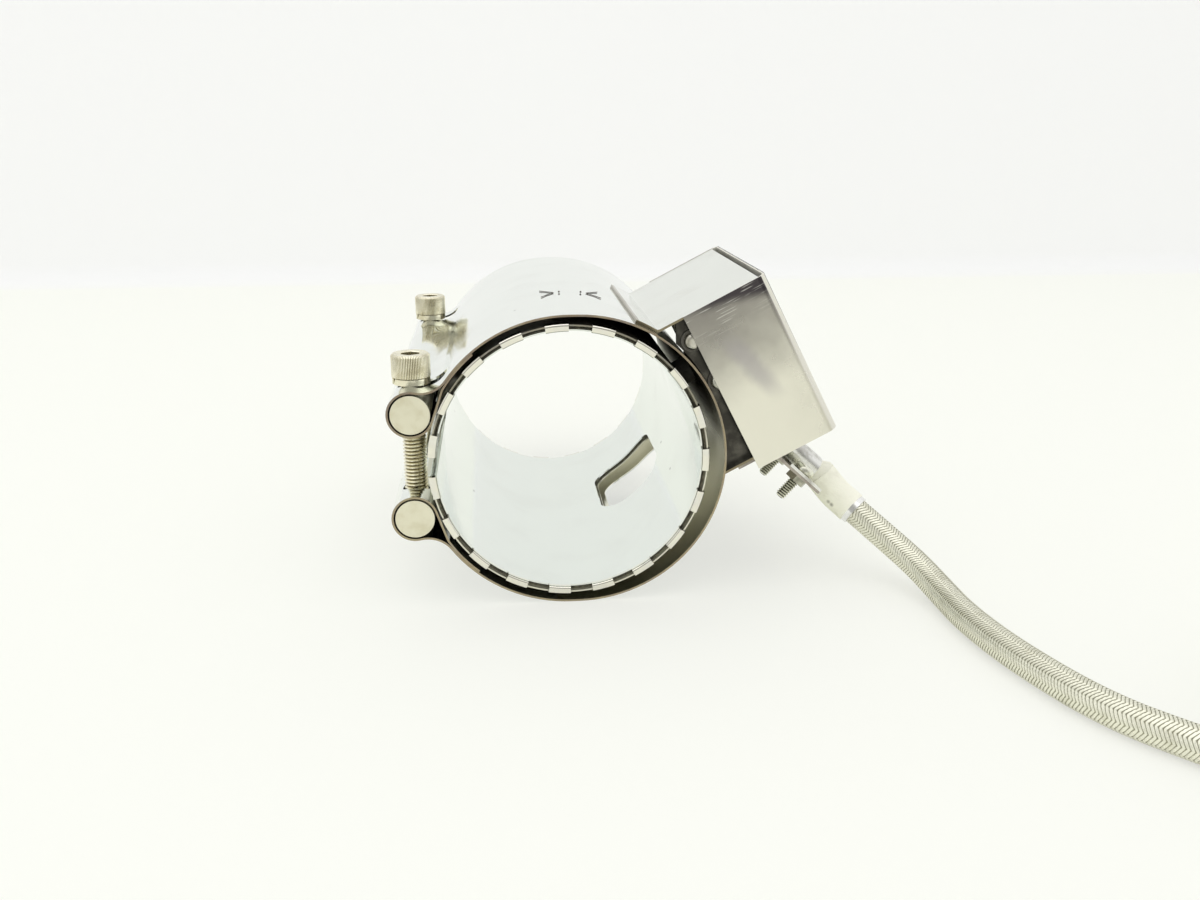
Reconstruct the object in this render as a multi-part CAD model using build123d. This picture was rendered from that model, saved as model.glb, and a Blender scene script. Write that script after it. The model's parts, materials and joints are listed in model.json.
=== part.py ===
"""Band heater with a full-width clamp strap, two barrel-nut screws, a terminal box and a braided lead.

Frame: origin on the bore axis at mid-width, +Y along the bore, +Z up, terminal box towards +X.
All sizes are in millimetres.
"""
from build123d import *
import math
import os

# Heater band: bore, width and the thickness of each layer, from the bore outwards
BORE_DIAMETER = 88.9
BAND_WIDTH = 152.4
SHEATH = 0.5
INNER_INSULATION = 0.45
RIBBON = 0.25
OUTER_INSULATION = 0.55
SPLIT_GAP = 6.6

# Interlocked edges: tabs of the inner sheath folded over the outer sheath
TAB_COUNT = 19
TAB_SHARE = 0.5
TAB_BEND = 0.9
TAB_HOOK = 3.2
EDGE_RECESS = 2.2
EDGE_PLAY = 0.1
INSULATION_RECESS = 3.0

# Resistance ribbon cut as a serpentine
RIBBON_MARGIN = 7.0
RIBBON_PITCH = 8.2
RIBBON_SLOT = 3.2

# How far a cutting tool runs past what it cuts
CUT_MARGIN = 1.0

# Two points nearer than this are the same place
SAME_PLACE = 1e-6

# Probe window through heater and strap
WINDOW_ANGLE = -47.0
WINDOW_Y = 11.0
WINDOW_ARC_WIDTH = 31.0
WINDOW_LENGTH = 45.0
WINDOW_CORNER = 10.0
WINDOW_MARGIN = 5.0

# Clamp strap: one sheet, ends rolled into loops round the barrel nuts
STRAP_SHEET = 0.7
STRAP_INSET = 0.4
STRAP_SEAT = 0.05
STRAP_CLEARANCE = 2.1
STRAP_STAND_OFF = 2.9
LOOP_BLEND = 10.0
RETURN_LEG_ARC = 18.0
SLOT_WIDTH = 9.4
SLOT_REACH = 8.0

# Barrel nuts, clamp screws and spring washers
BARREL_DIAMETER = 13.0
BARREL_LENGTH = 28.0
BARREL_PLAY = 0.6
BARREL_SPACING = 35.8
SCREW_DIAMETER = 8.0
SCREW_TIP_PAST = 4.4
SCREW_RUNNING = 0.04
SCREW_CLEARANCE = 0.3
HEAD_DIAMETER = 13.0
HEAD_HEIGHT = 8.0
HEAD_CHAMFER = 0.7
SOCKET_ACROSS = 6.0
SOCKET_DEPTH = 4.0
WASHER_DIAMETER = 12.7
WASHER_THICKNESS = 2.0
WASHER_BORE_PLAY = 0.2
WASHER_SPLIT = 0.9
WASHER_SPLIT_TILT = 25.0
WASHER_SPLIT_TURN = -60.0

# Terminal box: turned up from +X, walls measured along and across that direction
BOX_ANGLE = 27.5
BOX_SHEET = 0.8
BOX_SET_BACK = 6.5
BOX_LENGTH = 79.6
BOX_HEIGHT = 30.9
TOP_WALL = 25.9
BOTTOM_WALL = -30.2
FLANGE_ARC = 9.6
WALL_BEND = 1.4
COVER_LIFT = 3.0
COVER_OVER_TOP = 0.1
COVER_UNDER_BOTTOM = 3.5
COVER_END_GAP = 1.8
COVER_PLAY = 0.4
COVER_BEND = 3.4

# Terminal panel inside the box and what it carries
PANEL_SET_BACK = 3.3
PANEL_STRAP_GAP = 0.6
PANEL_END_GAP = 1.9
PANEL_LIP = 12.0
PANEL_NOTCH = 7.0
TERMINAL_LIFTS = (2.5, 4.5)
TERMINAL_DROPS = (9.3, 25.9)
STUD_DIAMETER = 3.5
STUD_LENGTH = 17.0
STUD_HEAD_DIAMETER = 6.0
STUD_HEAD_HEIGHT = 2.4
STUD_HEAD_ROUNDING = 1.9
INSULATOR_DIAMETER = 7.6
INSULATOR_THICKNESS = 0.8
INSULATOR_SPIGOT = 5.6
RING_THICKNESS = 0.8
RING_DIAMETER = 7.0
RING_NECK = 2.4
RING_REACH = 7.5
CRIMP_DIAMETER = 3.6
CRIMP_LENGTH = 5.0
NUT_ACROSS = 6.0
NUT_HEIGHT = 2.8
HEATER_RING_ANGLES = (0.0, -10.0)
SUPPLY_RING_ANGLES = (-40.0, -60.0)
LEAD_DIAMETER = 2.6
LEAD_SPACING = 3.4
LEAD_BEND = 5.0
LEAD_RUN_IN = 7.5
LEAD_RISE = 13.0
LEAD_RUN_OUT = 10.0
LEAD_SET_BACK = 33.3
LEAD_HOLE_DIAMETER = 9.8
BUSHING_FLANGE = 13.0
BUSHING_FLANGE_THICKNESS = 1.6
BUSHING_WALL = 1.3

# Cable clamp under the box: tongue plate, saddle and two screws
CLAMP_SET_BACK = 19.3
TONGUE_LIFT = 8.9
TONGUE_ANGLE = -69.5
TONGUE_LENGTH = 24.5
TONGUE_WIDTH = 38.0
TONGUE_SHEET = 1.0
TONGUE_FOOT = 12.0
SADDLE_LENGTH = 15.0
SADDLE_SHEET = 1.0
SADDLE_BORE = 7.6
SADDLE_SCREW_SPACING = 26.0
SADDLE_SCREW_DIAMETER = 4.0
SADDLE_SCREW_REACH = 10.0
SADDLE_HOLE_PLAY = 0.2
CABLE_HOLE_PLAY = 0.5
PAN_HEAD_DIAMETER = 7.6
PAN_HEAD_HEIGHT = 2.8
PAN_HEAD_ROUNDING = 2.0
SADDLE_NUT_ACROSS = 7.0
SADDLE_NUT_HEIGHT = 2.4

# Sleeve, braided cable and its coil
SLEEVE_PINCHED = 7.4
SLEEVE_DIAMETER = 11.8
SLEEVE_FLARE = 4.0
SLEEVE_TAIL = 5.0
SLEEVE_BEND = 14.0
CABLE_DIAMETER = 10.0
FERRULE_WALL = 0.6
FERRULE_LENGTH = 2.0
COIL_RADIUS = 50.0
COIL_TURNS = 2.4
COIL_PITCH = 10.4
COIL_SKIN = 0.4
COIL_STEP_BACK = 120.0
END_FERRULE_WALL = 0.4
END_FERRULE_LENGTH = 12.0
TAIL_LENGTH = 18.0
TAIL_DIAMETER = 3.0
TAIL_SPACING = 3.8
RUN_SHARE = 0.45
SLEEVE_END = (104.0, -56.5, -26.0)
CABLE_ROUTE = (
    SLEEVE_END,
    (112.5, -63.3, -33.2),
    (120.0, -73.2, -39.6),
    (125.8, -86.3, -44.1),
    (131.0, -107.0, -45.0),
    (136.5, -137.0, -45.0),
    (143.5, -165.5, -45.0),
    (157.5, -188.5, -45.0),
    (174.5, -211.0, -45.0),
    (191.5, -232.5, -45.0),
)

# Split pins whose legs are bent flat on the strap: angle of the head, side that the legs point to
STRAP_PINS = ((90.7, 1), (85.1, -1))
PIN_Y = -30.0
PIN_WIRE = 0.3
PIN_HEAD_DIAMETER = 0.7
PIN_LINK_ARC = 2.3
PIN_LEG_ARC = 5.4
PIN_LEG_SPREAD = 7.0
PIN_LIFT = 0.08

# Radii of the band's layers
BORE_R = BORE_DIAMETER / 2
INNER_SHEATH_R = BORE_R + SHEATH
RIBBON_IN_R = INNER_SHEATH_R + INNER_INSULATION
RIBBON_OUT_R = RIBBON_IN_R + RIBBON
OUTER_SHEATH_IN_R = RIBBON_OUT_R + OUTER_INSULATION
OUTER_SHEATH_R = OUTER_SHEATH_IN_R + SHEATH
HOOK_R = OUTER_SHEATH_R + SHEATH
HALF_BAND = BAND_WIDTH / 2
END_ANGLE = math.degrees(math.asin(SPLIT_GAP / 2 / BORE_R))
END_WALL_ANGLE = math.degrees(SHEATH / BORE_R)

# Strap middle-line radii and the barrels' places
HALF_STRAP = HALF_BAND - STRAP_INSET
RETURN_R = HOOK_R + STRAP_SEAT + STRAP_SHEET / 2
STRAP_R = HOOK_R + STRAP_CLEARANCE + STRAP_SHEET / 2
WELD_R = STRAP_R - STRAP_SHEET - STRAP_SEAT
STRAP_OUT_R = STRAP_R + STRAP_SHEET / 2
BARREL_R = BARREL_DIAMETER / 2
LOOP_R = BARREL_R + BARREL_PLAY + STRAP_SHEET / 2
LOOP_OUT_R = LOOP_R + STRAP_SHEET / 2
BARREL_Z = BARREL_SPACING / 2
BARREL_X = -math.sqrt((RETURN_R + LOOP_R) ** 2 - BARREL_Z**2)
SCREW_Y = HALF_STRAP - BARREL_LENGTH / 2
WASHER_Z = BARREL_Z + LOOP_OUT_R
HEAD_Z = WASHER_Z + WASHER_THICKNESS
SCREW_LENGTH = HEAD_Z + BARREL_Z + SCREW_TIP_PAST

# Places in the box: how far out its walls start, and where its panel stands
BOX_CENTRE = Vector(STRAP_STAND_OFF, 0, 0)
BOX_OUT = Vector(math.cos(math.radians(BOX_ANGLE)), 0, math.sin(math.radians(BOX_ANGLE)))
BOX_ACROSS = Vector(-BOX_OUT.Z, 0, BOX_OUT.X)
BOX_START_Y = -HALF_STRAP + BOX_SET_BACK
BOX_END_Y = BOX_START_Y + BOX_LENGTH
BOX_REACH = STRAP_OUT_R + BOX_HEIGHT
COVER_START = STRAP_OUT_R + COVER_LIFT
COVER_REACH = BOX_REACH + COVER_END_GAP + BOX_SHEET
COVER_TOP = TOP_WALL + COVER_OVER_TOP
COVER_BOTTOM = BOTTOM_WALL - COVER_UNDER_BOTTOM
FLANGE_IN_R = STRAP_OUT_R + STRAP_SEAT
PANEL_Y = BOX_START_Y + PANEL_SET_BACK
PANEL_BACK_Y = PANEL_Y + BOX_SHEET
PANEL_TOP = TOP_WALL - BOX_SHEET
PANEL_BOTTOM = BOTTOM_WALL + BOX_SHEET
PANEL_REACH = BOX_REACH - PANEL_END_GAP
TERMINALS = [(STRAP_OUT_R + lift, TOP_WALL - drop) for lift, drop in zip(TERMINAL_LIFTS, TERMINAL_DROPS)]
LEAD_HOLE_Y = BOX_START_Y + LEAD_SET_BACK
RING_Y = PANEL_BACK_Y + INSULATOR_THICKNESS

# Cable clamp directions, across the box, and the height of the cable over the tongue
CLAMP_Y = BOX_START_Y + CLAMP_SET_BACK
TONGUE_ROOT = STRAP_OUT_R + TONGUE_LIFT
TONGUE_TURN = math.radians(BOX_ANGLE + TONGUE_ANGLE)
TONGUE_DIR = Vector(math.cos(TONGUE_TURN), 0, math.sin(TONGUE_TURN))
TONGUE_UP = Vector(-TONGUE_DIR.Z, 0, TONGUE_DIR.X)
TONGUE_START = BOX_CENTRE + BOX_OUT * TONGUE_ROOT + BOX_ACROSS * BOTTOM_WALL + Vector(0, CLAMP_Y, 0)
CABLE_LIFT = TONGUE_SHEET + SADDLE_BORE / 2
SADDLE_START = TONGUE_LENGTH - SADDLE_LENGTH


def in_box(out, across, y):
    """A point given by its distance out from the strap's centre, across the box, and along the bore."""
    return BOX_CENTRE + BOX_OUT * out + BOX_ACROSS * across + Vector(0, y, 0)


def on_clamp(along, lift, y_off=0.0):
    """A point on the cable clamp, along the tongue from its root and above its lower face."""
    return TONGUE_START + TONGUE_DIR * along + TONGUE_UP * lift + Vector(0, y_off, 0)


def on_circle(radius, angle, y):
    """A point round the bore axis, with the angle in degrees from +X towards +Z."""
    turn = math.radians(angle)
    return Vector(radius * math.cos(turn), y, radius * math.sin(turn))


def along_bore(sketch, y0, y1, centre=Vector(0, 0, 0), angle=0.0):
    """Extrude a sketch drawn in X and Z from y0 to y1, after turning it by angle about centre."""
    turn = math.radians(angle)
    out = Vector(math.cos(turn), 0, math.sin(turn))
    plane = Plane(origin=centre + Vector(0, y1, 0), x_dir=out, z_dir=(0, -1, 0))
    return extrude(plane * sketch, amount=y1 - y0)


def across_box(sketch, y0, y1):
    """Extrude a sketch drawn in the box's own directions, out and across."""
    return along_bore(sketch, y0, y1, BOX_CENTRE, BOX_ANGLE)


def arc_strip(radius_in, radius_out, start, size, centre=(0, 0)):
    """A flat strip between two concentric arcs."""
    outer = CenterArc(centre, radius_out, start, size)
    inner = CenterArc(centre, radius_in, start, size)
    first = Line(outer @ 0, inner @ 0)
    last = Line(outer @ 1, inner @ 1)
    return make_face([outer.edge(), first.edge(), inner.edge(), last.edge()])


def box_strip(out0, out1, across0, across1):
    """A rectangle given by its limits."""
    return Pos((out0 + out1) / 2, (across0 + across1) / 2) * Rectangle(out1 - out0, across1 - across0)


def rod(start, end, radius):
    """A round rod from one point to another."""
    axis = end - start
    plane = Plane(origin=start, z_dir=axis)
    return plane * Cylinder(radius, axis.length, align=(Align.CENTER, Align.CENTER, Align.MIN))


def bend_radii(points, most=math.inf):
    """One arc radius for each corner of a route, as large as its two runs allow."""
    radii = []
    for before, corner, after in zip(points, points[1:], points[2:]):
        turn = math.radians((corner - before).get_angle(after - corner))
        shorter = min((corner - before).length, (after - corner).length)
        radii.append(min(most, RUN_SHARE * shorter / math.tan(turn / 2)))
    return radii


def rounded_route(points, most=math.inf):
    """Straight runs joined by tangent arcs."""
    return FilletPolyline(*points, radius=bend_radii(points, most))


def tube_along(route, radius):
    """A round tube along a route."""
    start = Plane(origin=route @ 0, z_dir=route % 0)
    return sweep(start * Circle(radius), path=route)


def radial_tool(angle, y, shape, near, far, centre=Vector(0, 0, 0)):
    """A cutting prism that runs outwards from the bore, with the sketch's first side round the bore."""
    turn = math.radians(angle)
    out = Vector(math.cos(turn), 0, math.sin(turn))
    round_way = Vector(-math.sin(turn), 0, math.cos(turn))
    plane = Plane(origin=centre + Vector(0, y, 0) + out * near, x_dir=round_way, z_dir=out)
    return extrude(plane * shape, amount=far - near)


def window_tool(margin=0.0):
    """The probe window's outline, cut through the wall of the band and strap."""
    outline = RectangleRounded(
        WINDOW_ARC_WIDTH + 2 * margin, WINDOW_LENGTH + 2 * margin, WINDOW_CORNER + margin
    )
    return radial_tool(WINDOW_ANGLE, WINDOW_Y, outline, BORE_R / 2, STRAP_OUT_R + STRAP_STAND_OFF * 2)


def lead_tool():
    """The round hole where the heater's leads come out under the box."""
    near = INNER_SHEATH_R - STRAP_STAND_OFF
    far = STRAP_OUT_R + STRAP_STAND_OFF
    return radial_tool(BOX_ANGLE, LEAD_HOLE_Y, Circle(LEAD_HOLE_DIAMETER / 2), near, far, BOX_CENTRE)


def layer(radius_in, radius_out, half_width, end_angle):
    """One layer of the split band."""
    sector = arc_strip(radius_in, radius_out, -180 + end_angle, 360 - 2 * end_angle)
    return along_bore(sector, -half_width, half_width)


def edge_tab():
    """One folded tab at the front edge: its U section turned about the bore axis."""
    front = -HALF_BAND
    outline = [
        (BORE_R, front + EDGE_RECESS),
        (BORE_R, front),
        (HOOK_R, front),
        (HOOK_R, front + TAB_HOOK),
        (OUTER_SHEATH_R, front + TAB_HOOK),
        (OUTER_SHEATH_R, front + SHEATH),
        (INNER_SHEATH_R, front + SHEATH),
        (INNER_SHEATH_R, front + EDGE_RECESS),
    ]
    section = make_face(Polyline(*outline, close=True).edges())
    outer_corners = [v for v in section.vertices() if abs(v.Y - front) < SAME_PLACE]
    section = fillet(outer_corners, TAB_BEND)
    inner_corners = [v for v in section.vertices() if abs(v.Y - front - SHEATH) < SAME_PLACE]
    section = fillet(inner_corners, TAB_BEND - SHEATH)
    return revolve(section, axis=Axis.Y, revolution_arc=tab_arc())


def tab_pitch():
    """The angle from one tab to the next, with a tab right at each end of the band."""
    return (360 - 2 * END_ANGLE) / (TAB_COUNT - 1 + TAB_SHARE)


def tab_arc():
    """The angle that one tab takes."""
    return tab_pitch() * TAB_SHARE


def inner_sheath():
    """Bore sheath with both castellated edges and its folded ends."""
    sheath = layer(BORE_R, INNER_SHEATH_R, HALF_BAND - EDGE_RECESS, END_ANGLE)
    for start in (-180 + END_ANGLE, 180 - END_ANGLE - END_WALL_ANGLE):
        end_wall = arc_strip(INNER_SHEATH_R, OUTER_SHEATH_R, start, END_WALL_ANGLE)
        sheath += along_bore(end_wall, -HALF_BAND + EDGE_RECESS, HALF_BAND - EDGE_RECESS)
    front_tab = edge_tab()
    rear_tab = mirror(front_tab, about=Plane.XZ)
    tabs = []
    for index in range(TAB_COUNT):
        last_edge = -180 + END_ANGLE + tab_arc() + index * tab_pitch()
        turn = Rot(0, -last_edge, 0)
        tabs += [turn * front_tab, turn * rear_tab]
    sheath = sheath.fuse(*tabs)
    return sheath - window_tool()


def outer_sheath():
    """Outer sheath held under the folded tabs, with the lead hole."""
    half_width = HALF_BAND - TAB_BEND - EDGE_PLAY
    sheath = layer(OUTER_SHEATH_IN_R, OUTER_SHEATH_R, half_width, END_ANGLE + END_WALL_ANGLE)
    return sheath - window_tool() - lead_tool()


def insulation(radius_in, radius_out, with_lead_hole):
    """A sheet of insulation between the sheaths."""
    sheet = layer(radius_in, radius_out, HALF_BAND - INSULATION_RECESS, END_ANGLE + END_WALL_ANGLE)
    sheet -= window_tool()
    if with_lead_hole:
        sheet -= lead_tool()
    return sheet


def heating_ribbon():
    """Resistance ribbon: a serpentine whose legs run along the bore, shorter in front of the window."""
    margin = END_ANGLE + END_WALL_ANGLE + math.degrees(RIBBON_MARGIN / BORE_R)
    half = HALF_BAND - RIBBON_MARGIN
    ribbon = layer(RIBBON_IN_R, RIBBON_OUT_R, half, margin)
    window_half = math.degrees((WINDOW_ARC_WIDTH / 2 + WINDOW_MARGIN) / BORE_R)
    window_front = WINDOW_Y - WINDOW_LENGTH / 2 - WINDOW_MARGIN
    cut_in = RIBBON_IN_R - CUT_MARGIN
    cut_out = RIBBON_OUT_R + CUT_MARGIN
    rear_block = arc_strip(cut_in, cut_out, WINDOW_ANGLE - window_half, 2 * window_half)
    ribbon -= along_bore(rear_block, window_front, half + CUT_MARGIN)
    count = int((360 - 2 * margin) / RIBBON_PITCH)
    slots = []
    for index in range(1, count):
        middle = -180 + margin + index * (360 - 2 * margin) / count
        strip = arc_strip(cut_in, cut_out, middle - RIBBON_SLOT / 2, RIBBON_SLOT)
        beside_window = abs(middle - WINDOW_ANGLE) < window_half + RIBBON_SLOT
        rear = window_front if beside_window else half
        low = -half + RIBBON_MARGIN if index % 2 else -half - CUT_MARGIN
        high = half + CUT_MARGIN if index % 2 else rear - RIBBON_MARGIN
        slots.append(along_bore(strip, low, high))
    return ribbon - slots


def strap_half(side):
    """Middle-line strips of the strap's upper (side 1) or lower (side -1) half, with its loop."""
    barrel_angle = math.degrees(math.atan2(BARREL_Z, BARREL_X))
    blend_reach = STRAP_R + LOOP_BLEND
    barrel_reach = RETURN_R + LOOP_R
    blend_to_loop = LOOP_R + LOOP_BLEND
    cosine = (blend_reach**2 + barrel_reach**2 - blend_to_loop**2) / (2 * blend_reach * barrel_reach)
    leave_angle = barrel_angle - math.degrees(math.acos(cosine))
    turn = math.radians(leave_angle)
    blend_centre = (blend_reach * math.cos(turn), blend_reach * math.sin(turn))
    to_barrel = math.degrees(math.atan2(BARREL_Z - blend_centre[1], BARREL_X - blend_centre[0])) % 360
    blend_turn = leave_angle + 180 - to_barrel
    touch = (to_barrel + 180) % 360
    near_heater = barrel_angle + 180
    half = STRAP_SHEET / 2
    weld_turn = math.degrees(math.acos(RETURN_R / WELD_R))
    weld_angle = barrel_angle - weld_turn
    leg_run = WELD_R * math.sin(math.radians(weld_turn))
    straight_leg = Rot(0, 0, barrel_angle) * box_strip(RETURN_R - half, RETURN_R + half, -leg_run, 0)

    def strip(centre, radius, start, size):
        return arc_strip(radius - half, radius + half, start, size, centre)

    strips = [
        strip((STRAP_STAND_OFF, 0), STRAP_R, 0, 90),
        box_strip(0, STRAP_STAND_OFF, STRAP_R - half, STRAP_R + half),
        strip((0, 0), STRAP_R, 90, leave_angle - 90),
        strip(blend_centre, LOOP_BLEND, to_barrel, blend_turn),
        strip((BARREL_X, BARREL_Z), LOOP_R, touch, near_heater - touch),
        straight_leg,
        strip((0, 0), WELD_R, weld_angle - RETURN_LEG_ARC, RETURN_LEG_ARC),
    ]
    shape = Sketch() + strips
    return shape if side > 0 else mirror(shape, about=Plane.XZ)


def clamp_strap():
    """Full-width strap with slotted loops, the probe window and the lead hole."""
    section = strap_half(1) + strap_half(-1)
    strap = along_bore(section, -HALF_STRAP, HALF_STRAP)
    slot_long = SLOT_WIDTH + SLOT_REACH
    slot = Pos(BARREL_X + SLOT_REACH / 2, 0) * SlotOverall(slot_long, SLOT_WIDTH)
    slot_top = WASHER_Z + LOOP_BLEND
    cuts = []
    for y in (-SCREW_Y, SCREW_Y):
        upper = Plane(origin=(0, y, BARREL_Z)) * slot
        cuts.append(extrude(upper, amount=slot_top - BARREL_Z))
        round_hole = Pos(BARREL_X, y, -BARREL_Z) * Circle(SLOT_WIDTH / 2)
        cuts.append(extrude(round_hole, amount=BARREL_SPACING))
    window = window_tool()
    return strap - cuts - window - lead_tool()


def barrel_nut(side, y_side, hole_play):
    """Round barrel with a cross hole for the clamp screw."""
    y0 = HALF_STRAP - BARREL_LENGTH if y_side > 0 else -HALF_STRAP
    disc = Pos(BARREL_X, side * BARREL_Z) * Circle(BARREL_R)
    barrel = along_bore(disc, y0, y0 + BARREL_LENGTH)
    hole = Pos(BARREL_X, y_side * SCREW_Y, side * BARREL_Z)
    return barrel - hole * Cylinder(SCREW_DIAMETER / 2 + hole_play, BARREL_DIAMETER * 2)


def clamp_screw(y_side):
    """Socket-head cap screw, head up."""
    head = Cylinder(HEAD_DIAMETER / 2, HEAD_HEIGHT, align=(Align.CENTER, Align.CENTER, Align.MIN))
    head = chamfer(head.edges().group_by(Axis.Z)[-1], HEAD_CHAMFER)
    socket = Pos(0, 0, HEAD_HEIGHT - SOCKET_DEPTH) * RegularPolygon(SOCKET_ACROSS / 2, 6, major_radius=False)
    head -= extrude(socket, amount=SOCKET_DEPTH * 2)
    shank = Cylinder(SCREW_DIAMETER / 2, SCREW_LENGTH, align=(Align.CENTER, Align.CENTER, Align.MAX))
    shank = chamfer(shank.edges().group_by(Axis.Z)[0], HEAD_CHAMFER)
    return Pos(BARREL_X, y_side * SCREW_Y, HEAD_Z) * (head + shank)


def lock_washer(y_side):
    """Split spring washer under the screw head."""
    bore = SCREW_DIAMETER / 2 + WASHER_BORE_PLAY
    ring = Cylinder(WASHER_DIAMETER / 2, WASHER_THICKNESS) - Cylinder(bore, WASHER_THICKNESS * 2)
    split = Box(WASHER_SPLIT, WASHER_DIAMETER - SCREW_DIAMETER / 2, WASHER_THICKNESS * 3)
    split = Pos(0, -WASHER_DIAMETER / 2, 0) * Rot(0, WASHER_SPLIT_TILT, 0) * split
    split = Rot(0, 0, WASHER_SPLIT_TURN) * split
    return Pos(BARREL_X, y_side * SCREW_Y, WASHER_Z + WASHER_THICKNESS / 2) * (ring - split)


def wall_bracket(wall, inward):
    """An L-shaped wall of the box with its flange lying on the strap; inward is the wall's inner side."""
    side = -inward
    inner = wall + inward * BOX_SHEET
    flange_out_r = FLANGE_IN_R + BOX_SHEET
    root = math.sqrt(flange_out_r**2 - wall**2)
    root_angle = math.degrees(math.atan2(inner, math.sqrt(FLANGE_IN_R**2 - inner**2)))
    start = root_angle if side > 0 else root_angle - FLANGE_ARC
    flange = arc_strip(FLANGE_IN_R, flange_out_r, start, FLANGE_ARC)
    low, high = sorted((wall, inner))
    section = Sketch() + [flange, box_strip(root - BOX_SHEET, BOX_REACH, low, high)]
    section -= Circle(FLANGE_IN_R)
    corner = section.vertices().sort_by_distance((root, wall))[0]
    return fillet(corner, WALL_BEND)


def top_bracket():
    """Upper wall of the terminal box."""
    return across_box(wall_bracket(TOP_WALL, -1), BOX_START_Y, BOX_END_Y)


def bottom_bracket():
    """Lower wall of the terminal box, with the cable's hole."""
    wall = across_box(wall_bracket(BOTTOM_WALL, 1), BOX_START_Y, BOX_END_Y)
    hole_start = on_clamp(-SADDLE_LENGTH, CABLE_LIFT)
    hole_end = on_clamp(SADDLE_LENGTH / 2, CABLE_LIFT)
    return wall - rod(hole_start, hole_end, SADDLE_BORE / 2 + CABLE_HOLE_PLAY)


def terminal_panel():
    """Inner panel that carries the terminals, with a lip along each wall."""
    radius = STRAP_OUT_R + PANEL_STRAP_GAP
    notch = PANEL_TOP - PANEL_NOTCH
    start = math.degrees(math.asin(PANEL_BOTTOM / radius))
    size = math.degrees(math.asin(notch / radius)) - start
    edge = CenterArc((0, 0), radius, start, size)
    outline = Polyline(
        edge @ 1,
        (radius, PANEL_TOP),
        (PANEL_REACH, PANEL_TOP),
        (PANEL_REACH, PANEL_BOTTOM),
        edge @ 0,
    )
    web = across_box(make_face(edge.edges() + outline.edges()), PANEL_Y, PANEL_BACK_Y)
    lip_start = radius + STUD_HEAD_DIAMETER
    top_lip = box_strip(lip_start, PANEL_REACH, PANEL_TOP - BOX_SHEET, PANEL_TOP)
    bottom_lip = box_strip(PANEL_REACH - PANEL_LIP, PANEL_REACH, PANEL_BOTTOM, PANEL_BOTTOM + BOX_SHEET)
    panel = web
    for lip in (top_lip, bottom_lip):
        panel += across_box(lip, PANEL_Y, PANEL_BACK_Y + PANEL_LIP)
    for out, across in TERMINALS:
        hole = Pos(out, across) * Circle(INSULATOR_SPIGOT / 2)
        panel -= across_box(hole, PANEL_Y - CUT_MARGIN, PANEL_BACK_Y + CUT_MARGIN)
    return panel


def terminal_screw(out, across):
    """Round-head terminal screw through the panel, head to the front."""
    head_back = PANEL_Y - INSULATOR_THICKNESS
    head_face = Pos(out, across) * Circle(STUD_HEAD_DIAMETER / 2)
    head = across_box(head_face, head_back - STUD_HEAD_HEIGHT, head_back)
    head = fillet(head.edges().group_by(Axis.Y)[0], STUD_HEAD_ROUNDING)
    stud = across_box(Pos(out, across) * Circle(STUD_DIAMETER / 2), head_back, head_back + STUD_LENGTH)
    return head + stud


def terminal_insulators(out, across):
    """Two insulating washers on the panel, the front one with a spigot through it."""
    place = Pos(out, across)
    ring = place * (Circle(INSULATOR_DIAMETER / 2) - Circle(STUD_DIAMETER / 2))
    spigot = place * (Circle(INSULATOR_SPIGOT / 2) - Circle(STUD_DIAMETER / 2))
    front = across_box(ring, PANEL_Y - INSULATOR_THICKNESS, PANEL_Y)
    front += across_box(spigot, PANEL_Y, PANEL_BACK_Y)
    back = across_box(ring, PANEL_BACK_Y, RING_Y)
    return [front, back]


def terminal_nut(out, across):
    """Hexagon nut behind the ring terminals."""
    start = RING_Y + 2 * RING_THICKNESS
    outline = RegularPolygon(NUT_ACROSS / 2, 6, major_radius=False) - Circle(STUD_DIAMETER / 2)
    return across_box(Pos(out, across) * outline, start, start + NUT_HEIGHT)


def crimp_start(out, across, angle, slot):
    """The middle of a ring terminal's crimp, which stands on the neck's panel side."""
    turn = math.radians(angle)
    y = RING_Y + slot * RING_THICKNESS + CRIMP_DIAMETER / 2
    return in_box(out + RING_REACH * math.cos(turn), across + RING_REACH * math.sin(turn), y)


def crimp_direction(angle):
    """The way a ring terminal points."""
    turn = math.radians(angle)
    return BOX_OUT * math.cos(turn) + BOX_ACROSS * math.sin(turn)


def ring_terminal(out, across, angle, slot):
    """Ring, neck and crimp of one terminal."""
    y0 = RING_Y + slot * RING_THICKNESS
    neck = Pos(RING_REACH / 2, 0) * Rectangle(RING_REACH, RING_NECK)
    ring = Circle(RING_DIAMETER / 2) + neck - Circle(STUD_DIAMETER / 2)
    flat = Pos(out, across) * Rot(0, 0, angle) * ring
    start = crimp_start(out, across, angle, slot)
    crimp = rod(start, start + crimp_direction(angle) * CRIMP_LENGTH, CRIMP_DIAMETER / 2)
    return across_box(flat, y0, y0 + RING_THICKNESS) + crimp


def lead_to_crimp(start_points, out, across, angle, slot):
    """A lead from given points to the open end of a crimp."""
    way = crimp_direction(angle)
    end = crimp_start(out, across, angle, slot) + way * CRIMP_LENGTH
    route = rounded_route([*start_points, end + way * LEAD_RUN_IN, end], LEAD_BEND)
    return tube_along(route, LEAD_DIAMETER / 2)


def heater_leads():
    """The two leads from the resistance ribbon, out through the bushing to the terminals."""
    leads = []
    for index, (out, across) in enumerate(TERMINALS):
        offset = LEAD_SPACING / 2 if index == 0 else -LEAD_SPACING / 2
        foot = in_box(OUTER_SHEATH_IN_R - STRAP_STAND_OFF, offset, LEAD_HOLE_Y)
        rise = in_box(STRAP_OUT_R + LEAD_RISE, offset, LEAD_HOLE_Y)
        leads.append(lead_to_crimp([foot, rise], out, across, HEATER_RING_ANGLES[index], 0))
    return leads


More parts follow.
